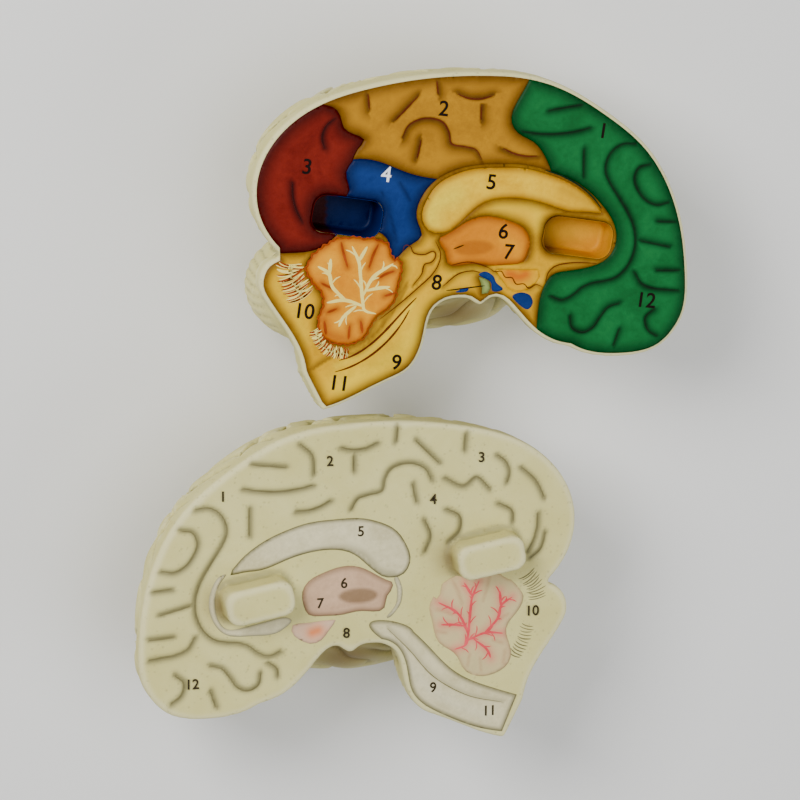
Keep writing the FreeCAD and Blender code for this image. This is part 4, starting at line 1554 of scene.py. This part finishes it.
@dataclass
class SocketLiner:
    """Inked inside of one socket of the coloured half, with painted shade that deepens down the socket and,
    in the front one, a painted highlight along its middle.
    """

    plan: FacePlan
    side: str
    finish: InkFinish
    inset: float = 0.3
    sunk: float = 0.05
    skin: float = 0.08
    rounding: float = 1.2
    rows: int = 16
    corner_steps: int = 8
    side_step: float = 1.2
    floor_step: float = 1.25

    def ring(self, inset: float) -> np.ndarray:
        """Oblong outline of the socket, drawn in by an inset, anticlockwise.

        Args:
            inset: Distance to the foam.

        Returns:
            Its drawn places.
        """
        radius = SOCKET_CORNER - inset
        half = np.array((SOCKET_LENGTH / 2 - SOCKET_CORNER, SOCKET_WIDTH / 2 - SOCKET_CORNER))
        places = []
        for number, (x, y) in enumerate(((1, 1), (-1, 1), (-1, -1), (1, -1))):
            turns = math.pi / 2 * (number + np.linspace(0, 1, self.corner_steps))
            places.append(half * (x, y) + radius * np.column_stack([np.cos(turns), np.sin(turns)]))
        loop = stepped(np.vstack(places), self.side_step)
        cosine, sine = math.cos(SOCKET_TURN), math.sin(SOCKET_TURN)
        return loop @ np.array([[cosine, sine], [-sine, cosine]]) + np.array(SOCKETS[self.side])

    def shell(self) -> tuple[np.ndarray, list[list[int]]]:
        """Wall and floor of the liner as one open skin.

        Returns:
            Points in drawn millimetres and the faces.
        """
        deepest = SOCKET_DEPTH - self.inset
        levels = [(self.inset, self.plan.ink_top - self.sunk - depth)
                  for depth in np.linspace(0, deepest - self.rounding, self.rows)]
        levels += [(self.inset + self.rounding * (1 - math.cos(turn)),
                    self.rounding - deepest - self.rounding * math.sin(turn))
                   for turn in np.linspace(0.2, 1.0, 5) * math.pi / 2]
        rings = [np.column_stack([self.ring(inset), np.full(len(self.ring(inset)), level)])
                 for inset, level in levels]
        count = len(rings[0])
        faces = [[row + step, row + (step + 1) % count, row + count + (step + 1) % count, row + count + step]
                 for row in range(0, (len(rings) - 1) * count, count) for step in range(count)]
        floor, triangles = net([rings[-1][:, :2]], self.floor_step)
        faces += (triangles + len(rings) * count).tolist()
        return np.vstack(rings + [np.column_stack([floor, np.full(len(floor), -deepest)])]), faces

    def build(self) -> None:
        """Build and dress the liner."""
        points, faces = self.shell()
        item = mesh_object(self.plan.node(self.side + "_socket_liner"), self.plan.to_row(points), faces)
        written(merged(item.data, 1e-5), item.data)
        wall = item.modifiers.new("skin", "SOLIDIFY")
        wall.thickness = self.skin * MM
        wall.offset = -1.0
        item = settled(item, item.name)
        item.data.shade_smooth()
        drawn = self.plan.to_drawn(triples(item.data.vertices, "co"))
        depth = np.clip(-drawn[:, 2] / SOCKET_DEPTH, 0, 1)
        if self.side == "rear":
            # Rear socket: painted shade that deepens down the socket; the tone is the maroon print of its
            # rear part.
            shade = 0.15 + 0.55 * depth
            tone = ease(-drawn[:, 0], -LOBE_BORDER - 0.3, -LOBE_BORDER + 0.3)
        else:
            # Front socket: painted shade at its rear end and upper side, and a painted highlight along its
            # middle that grows with depth.
            local = drawn[:, :2] - np.array(SOCKETS[self.side])
            shade = 0.75 * bell(local[:, 0] + 9.0, 4.0) + 0.35 * ease(local[:, 1], 1.0, 6.0)
            tone = 0.7 * bell(local[:, 1], 3.2) * depth
        store_ink(item, np.clip(shade, 0, 1), np.clip(tone, 0, 1))
        dress(item, self.finish)


# The two printed faces

COLOURED_INKS = {
    "core": InkFinish("core_ink", "yellow_print", "DCA400", "5A3408", "EEC820", 0.35),
    "frontal": InkFinish("frontal_ink", "green_print", "10602B", "031A0A", "128040", 0.35),
    "occipital": InkFinish("occipital_ink", "red_print", "6E140C", "1E0504", "96281A", 0.35),
    "temporal": InkFinish("temporal_ink", "blue_print", "122E6C", "040824", "224488", 0.35),
    "parietal": InkFinish("parietal_ink", "ochre_print", "AA760F", "452206", "C9920E", 0.35),
    "callosum": InkFinish("callosum_ink", "pale_yellow_print", "E6B206", "8E5606", "F4DA3C", 0.4),
    "thalamus": InkFinish("thalamus_ink", "orange_print", "D07C00", "823A02", "E89E04", 0.3),
    "hypothalamus": InkFinish("hypothalamus_ink", "orange_print", "DCA400", "C46000", "EEC820", 0.3),
    "pituitary": InkFinish("pituitary_ink", "grey_green_print", "8A9952", "4A5626", "AAB670", 0.3),
    "cerebellum": InkFinish("cerebellum_ink", "orange_print", "DC8A00", "943C02", "F0AC10", 0.35),
    "branch": InkFinish("branch_ink", "cream_line_print", "F4E27A", "C08A2C", "FBF4A8", 0.2),
    "brown_line": InkFinish("brown_line_ink", "brown_line_print", "54200A", "260C04", "74300E", 0.3),
    "green_line": InkFinish("green_line_ink", "brown_line_print", "062410", "020A05", "0A3818", 0.3),
    "maroon_line": InkFinish("maroon_line_ink", "brown_line_print", "2E0806", "120302", "4A100C", 0.3),
    "dark": InkFinish("number_ink", "brown_line_print", "120806", "060302", "22100A", 0.15),
    "white": InkFinish("white_number_ink", "white_print", "E8EDF2", "A8B4C0", "FFFFFF", 0.15),
    "folia": InkFinish("folia_ink", "brown_line_print", "933808", "5A2206", "B8560E", 0.35),
    # The socket inks' deep colours are painted shade; the front socket's light colour is a painted highlight.
    "front_socket": InkFinish("front_socket_ink", "ochre_print", "C8860C", "5A3208", "E8B020", 0.25),
    "rear_socket": InkFinish("rear_socket_ink", "blue_print", "102A66", "02030A", "561009", 0.0),
}
CREAM_INKS = {
    "callosum": InkFinish("pale_callosum_ink", "white_print", "D9D0A6", "5E5A34", "E8E2C4", 0.35),
    "thalamus": InkFinish("pale_thalamus_ink", "pink_print", "CCA888", "6E5434", "DCC0A0", 0.3),
    "hypothalamus": InkFinish("pale_hypothalamus_ink", "pink_print", "D6BCA0", "9A7450", "E07A3E", 0.25),
    "cerebellum": InkFinish("pale_cerebellum_ink", "pink_print", "CDC590", "A86A50", "DC8672", 0.3),
    "brainstem": InkFinish("pale_stem_ink", "white_print", "D6CCA0", "625E38", "E6DFBE", 0.35),
    "branch": InkFinish("pink_branch_ink", "pink_line_print", "E04A50", "AE2C38", "F07A7C", 0.45),
    "line": InkFinish("grey_line_ink", "grey_line_print", "746E48", "504A2C", "918A60", 0.4),
    "dark": InkFinish("cream_number_ink", "grey_line_print", "332C1E", "18140C", "4A422C", 0.15),
}
COLOURED_NUMBERS = {
    1: (43.2, 32.6), 2: (-9.8, 42.0), 3: (-54.5, 25.2), 5: (6.2, 17.6), 6: (10.4, 1.4), 7: (12.2, -5.4),
    8: (-11.6, -14.2), 9: (-24.7, -39.6), 10: (-55.2, -21.4), 11: (-43.6, -45.4), 12: (58.4, -23.4),
}
WHITE_NUMBERS = {4: (-28.5, 21.6)}
CREAM_NUMBERS = {
    1: (45.6, 31.8), 2: (10.4, 41.5), 3: (-40.0, 40.0), 4: (-24.0, 27.0), 5: (0.0, 17.8), 6: (5.5, 1.0),
    7: (13.4, -5.2), 8: (4.6, -15.6), 9: (-24.5, -35.6), 10: (-57.6, -12.0), 11: (-43.5, -44.6),
    12: (55.6, -29.4),
}


@dataclass
class PrintedFace:
    """What the print of both halves has in common."""

    plan: FacePlan
    line_tree: LineTree
    fringe_tree: FringeTree
    inks: dict[str, InkFinish]

    def fill(self, part: str, *values: object, **more: object) -> None:
        """Build one field with the ink of its own name."""
        PrintField(self.plan, part, self.inks[part], *values, **more).build()

    def draw(self, part: str, lines: Lines, ink: str, width: float, raised: float, **more: object) -> None:
        """Build drawn lines at a height over the ink."""
        level = self.plan.ink_top + raised
        DrawnLines(self.plan, part, lines, self.inks[ink], width, level, self.line_tree, **more).build()

    def fringe(self, part: str, course: Course, ink: str, width: float, level: float, **more: object) -> None:
        """Build a row of short strokes."""
        lines = smooth_all((course,))
        Fringe(self.plan, part, lines, self.inks[ink], width, level, self.fringe_tree, **more).build()


@dataclass
class ColouredFace(PrintedFace):
    """Print of the coloured half: ten fields of ink, drawn lines, strokes, patches and numbers."""

    inks: dict[str, InkFinish] = field(default_factory=lambda: COLOURED_INKS)

    def core_passes(self) -> tuple[Airbrush, ...]:
        """List the passes of the airbrush over the yellow core.

        Returns:
            The passes.
        """
        return (
            Airbrush((STEM_GLOW,), 8.0, 0.9, Channel.TONE),
            Airbrush((STREAK,), 2.6, 0.9, Channel.TONE),
            Airbrush((((-6.0, -11.0), (2.0, -9.8)), ((22.0, 3.0), (20.0, 9.0), (8.0, 9.6))), 4.5, 0.6,
                     Channel.TONE),
            Airbrush((STEM_BACK,), 3.0, 0.8, lean=-0.7),
            Airbrush((COLLICULI, AQUEDUCT), 2.0, 0.75, lean=0.6),
            Airbrush((FORNIX, INNER_FORNIX, SCALLOPS), 2.4, 0.75, lean=-0.6),
            Airbrush((FRONT_BASE,), 3.0, 0.8, lean=0.6),
            Airbrush((OUTER_STEM,), 4.0, 0.7),
            Airbrush((((-19.0, 4.0), (-18.6, 12.0), (-13.0, 19.6)),), 2.6, 0.7),
            Airbrush((((-46.0, -33.6), (-38.0, -35.2), (-31.6, -29.6), (-27.6, -22.6)),), 3.0, 0.7,
                     lean=-0.7),
            Airbrush((((-64.0, -12.0), (-58.0, -22.0), (-54.0, -30.0)),), 4.0, 0.5, Channel.TONE),
        )

    def fields(self, folds: tuple) -> None:
        """Build the fields of ink.

        Args:
            folds: Middle lines of the drawn furrows.
        """
        self.fill("core", 0.9, 2.4, self.core_passes(), open_to="hypothalamus_print")
        self.fill("frontal", 0.75, 3.2, (), folds, 2.6, 0.45, 0.95)
        self.fill("occipital", 0.8, 4.0, (), folds, 2.8, 0.4, 0.9)
        self.fill("temporal", 0.75, 3.2, (
            Airbrush((((-30.0, 16.0), (-27.0, 8.0), (-25.0, 0.0)), ((-24.0, 19.0), (-20.6, 13.0))), 1.6, 0.6),
        ))
        self.fill("parietal", 0.8, 3.0, (), folds, 4.2, 0.8, 0.95)
        self.fill("callosum", 0.8, 1.7, (
            Airbrush((((-13.6, 7.0), (-12.0, 11.0), (-6.0, 14.0)),), 6.5, 0.85, Channel.TONE),
            Airbrush((((30.0, 14.6), (37.0, 11.0), (41.6, 7.6)),), 4.2, 0.45),
        ))
        self.fill("thalamus", 0.8, 1.8, (
            Patch(INNER_THALAMUS, 0.9, 0.5, Channel.SHADE),
            Airbrush((((10.0, -1.0), (14.6, -3.0), (15.0, -6.0)),), 4.0, 0.6, Channel.TONE),
        ))
        self.fill("hypothalamus", 0.0, 1.0, (
            Airbrush((((12.4, -12.2), (15.4, -13.6), (18.0, -12.8)),), 3.6, 0.95),
        ))
        self.fill("pituitary", 0.6, 0.8, net_step=0.5)
        self.fill("cerebellum", 0.9, 1.5, (
            Airbrush(FOLIA_STROKES, 2.2, 0.8),
            Airbrush((((-49.0, -24.0), (-47.0, -29.0), (-40.0, -31.6)),), 4.0, 0.6),
            Airbrush(BRANCHES, 3.2, 0.45, Channel.TONE),
        ))

    def line_sets(self, lines: Lines) -> dict[str, Lines]:
        """Sort the drawn furrows by the field that each crosses.

        Args:
            lines: Middle lines of the furrows.

        Returns:
            Lines for each ink.
        """
        owners = {"green_line": "frontal", "maroon_line": "occipital"}
        loops = {ink: self.plan.drawn_loops(part + "_print") for ink, part in owners.items()}
        sets = {"green_line": smooth_all((CALLOSUM_EDGE,)), "maroon_line": [], "brown_line": []}
        for line in lines:
            middle = line[len(line) // 2][None]
            held = [ink for ink, borders in loops.items() if inside(middle, borders)[0]]
            sets[(held + ["brown_line"])[0]].append(line)
        return sets

    def build(self) -> None:
        """Build and dress every piece of the face."""
        plan, inks, top = self.plan, self.inks, self.plan.ink_top
        furrows = plan.furrows()
        self.fields(tuple(furrows))
        for ink, drawn in self.line_sets(furrows).items():
            self.draw(ink + "s", drawn, ink, 0.6, 0.03, replaced="sulcus_lines")
        self.draw("branch_tracks", smooth_all(BRANCHES), "branch", 1.15, 0.05, height=0.14, unevenness=0.6,
                  replaced="arbor_vitae_lines")
        self.draw("twig_tracks", twigs(plan, 4.6, 3.6), "branch", 0.45, 0.04)
        self.draw("stem_tracks", plan.drawn_lines("brainstem_bands"), "brown_line", 0.7, 0.03,
                  replaced="brainstem_bands")
        self.draw("folia_tracks", smooth_all(FOLIA_STROKES), "folia", 0.8, 0.03)
        fine = (COLLICULI, AQUEDUCT, FORNIX, INNER_FORNIX, SCALLOPS, FRONT_BASE)
        self.draw("fine_tracks", smooth_all(fine), "brown_line", 0.36, 0.03)
        self.draw("leader_tracks", smooth_all(LEADERS), "dark", 0.4, 0.05, unevenness=0.0)
        edge = [wavy(loop) for loop in plan.drawn_loops("cerebellum_print")]
        self.draw("cerebellum_outline", edge, "folia", 0.5, 0.03)
        fringes = (("rear", REAR_FRINGE, 11, 9.4), ("lower", LOWER_FRINGE, 14, 4.2))
        for place, course, count, stroke in fringes:
            for ink, seed, width in (("folia", 5, 0.55), ("branch", 8, 0.85)):
                self.fringe(f"{place}_fringe_{ink}", course, ink, width, top + 0.04, count=count + seed % 3,
                            stroke=stroke, seed=seed)
        InkPatch(plan, "blue_patches", BLUE_PATCHES, inks["temporal"], top).build()
        Numbers(plan, "dark_numbers", COLOURED_NUMBERS, inks["dark"]).build()
        Numbers(plan, "white_number", WHITE_NUMBERS, inks["white"]).build()
        for side in SOCKETS:
            SocketLiner(plan, side, inks[side + "_socket"]).build()


@dataclass
class CreamFace(PrintedFace):
    """Print of the cream half: five pale fields, pink branches, shallow lines and small numbers."""

    inks: dict[str, InkFinish] = field(default_factory=lambda: CREAM_INKS)

    def fields(self) -> None:
        """Build the fields of ink."""
        self.fill("callosum", 0.95, 1.0, (
            Airbrush((((-11.0, 3.0), (-6.0, 4.6), (0.0, 10.6), (10.0, 12.6), (26.0, 8.8)),), 2.6, 0.5,
                     lean=0.5),
        ))
        self.fill("thalamus", 0.7, 1.4, (Patch(INNER_THALAMUS, 0.8, 0.75, Channel.SHADE),))
        self.fill("hypothalamus", 0.2, 1.0, (
            Airbrush((((14.0, -14.0), (16.0, -14.6)),), 3.0, 0.9, Channel.TONE),
        ))
        self.fill("cerebellum", 0.35, 1.4, (
            Airbrush(BRANCHES, 2.6, 0.8, Channel.TONE),
            Airbrush(FOLIA_STROKES, 1.2, 0.45),
        ))
        self.fill("brainstem", 0.9, 1.2, (
            Airbrush((CREAM_STEM_LINE,), 2.2, 0.45, lean=-0.7),
            Airbrush((STEM_GLOW,), 4.0, 0.6, Channel.TONE),
        ))

    def build(self) -> None:
        """Build and dress every piece of the face."""
        plan, inks = self.plan, self.inks
        self.fields()
        DrawnLines(plan, "grey_lines", plan.furrows(), inks["line"], 0.5, -0.3, self.line_tree,
                   replaced="sulcus_lines").build()
        self.draw("branch_tracks", smooth_all(BRANCHES), "branch", 0.8, 0.04, unevenness=1.2,
                  replaced="arbor_vitae_lines")
        self.draw("twig_tracks", twigs(plan, 2.4, 3.2), "branch", 0.38, 0.03, unevenness=1.2)
        self.draw("stem_track", smooth_all((CREAM_STEM_LINE,)), "line", 0.3, 0.03)
        for number, course in enumerate(CREAM_FRINGES):
            self.fringe(f"fringe_{number}", course, "line", 0.34, 0.02, count=11, stroke=6.4 - 1.6 * number,
                        seed=4 + number)
        InkPatch(plan, "pale_patches", PALE_PATCHES, inks["callosum"], 0.0, 0.6).build()
        Numbers(plan, "numbers", CREAM_NUMBERS, inks["dark"], 3.4, 0.0).build()


# Camera, lights and floor


@dataclass
class Studio:
    """Camera at the photograph's angle, soft lights and a plain pale floor."""

    target: tuple = (0.0, 0.0, 0.035)
    back: tuple = (-0.262, 0.223, 0.939)
    upward: tuple = (0.0505, 0.976, -0.212)
    distance: float = 2.15
    lens: float = 300.0
    floor_span: float = 3.0

    def camera(self) -> None:
        """Set the camera."""
        data = bpy.data.cameras.new("camera")
        data.lens = self.lens
        data.sensor_width = 36.0
        data.clip_start, data.clip_end = 0.05, 20.0
        item = new_object("camera", data)
        back = Vector(self.back).normalized()
        right = Vector(self.upward).cross(back).normalized()
        turn = Matrix((right, back.cross(right), back)).transposed().to_4x4()
        item.matrix_world = Matrix.Translation(Vector(self.target) + back * self.distance) @ turn
        bpy.context.scene.camera = item

    def light(self, name: str, place: tuple, size: float, power: float, tint: tuple) -> None:
        """Hang one soft square light that faces the object.

        Args:
            name: Its name.
            place: Where it hangs, in metres.
            size: Length of its sides, in metres.
            power: Its strength in watts.
            tint: Its colour.
        """
        data = bpy.data.lights.new(name, "AREA")
        data.shape = "SQUARE"
        data.size, data.energy, data.color = size, power, tint
        aim = (Vector(self.target) - Vector(place)).to_track_quat("-Z", "Y")
        new_object(name, data).matrix_world = Matrix.Translation(place) @ aim.to_matrix().to_4x4()

    def build(self) -> None:
        """Set up camera, lights, surroundings and floor."""
        self.camera()
        self.light("key_light", (-0.75, 0.55, 0.95), 0.5, 27.0, (1.0, 0.985, 0.96))
        self.light("fill_light", (0.9, -0.5, 0.8), 0.9, 9.0, (0.97, 0.985, 1.0))
        self.light("top_light", (0.1, 0.1, 1.4), 0.9, 12.0, (1.0, 1.0, 1.0))
        world = bpy.data.worlds.new("studio")
        world.use_nodes = True
        around = world.node_tree.nodes["Background"].inputs
        around["Color"].default_value = (0.93, 0.94, 0.96, 1.0)
        around["Strength"].default_value = 0.6
        bpy.context.scene.world = world
        bpy.context.scene.view_settings.look = "AgX - Punchy"
        corners = np.array(((-1, -1, 0), (1, -1, 0), (1, 1, 0), (-1, 1, 0))) * self.floor_span
        floor = mesh_object("floor", corners, [(0, 1, 2, 3)])
        feeds = {"Base Color": (0.82, 0.82, 0.81, 1.0), "Roughness": 0.7}
        floor.data.materials.append(Finish("pale_floor").cover(feeds))
        floor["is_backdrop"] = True


def write_sizes(solid_box: tuple) -> None:
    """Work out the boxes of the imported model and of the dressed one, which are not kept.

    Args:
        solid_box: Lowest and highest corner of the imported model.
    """
    boxes = {"cad": solid_box, "visual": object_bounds()}
    {name: [list(corner) for corner in box] for name, box in boxes.items()}


def main() -> None:
    """Build the two halves and the studio, and work out the boxes of the model before and after."""
    logging.basicConfig(level=logging.INFO, format="%(name)s: %(message)s")
    solid_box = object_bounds()
    coloured, cream = FacePlan(Half.COLOURED), FacePlan(Half.CREAM)
    line_tree, fringe_tree = LineTree(), FringeTree()
    for plan in (coloured, cream):
        FoamBody(plan).build()
    ColouredFace(coloured, line_tree, fringe_tree).build()
    CreamFace(cream, line_tree, fringe_tree).build()
    Studio().build()
    write_sizes(solid_box)


if __name__ == "__main__":
    main()
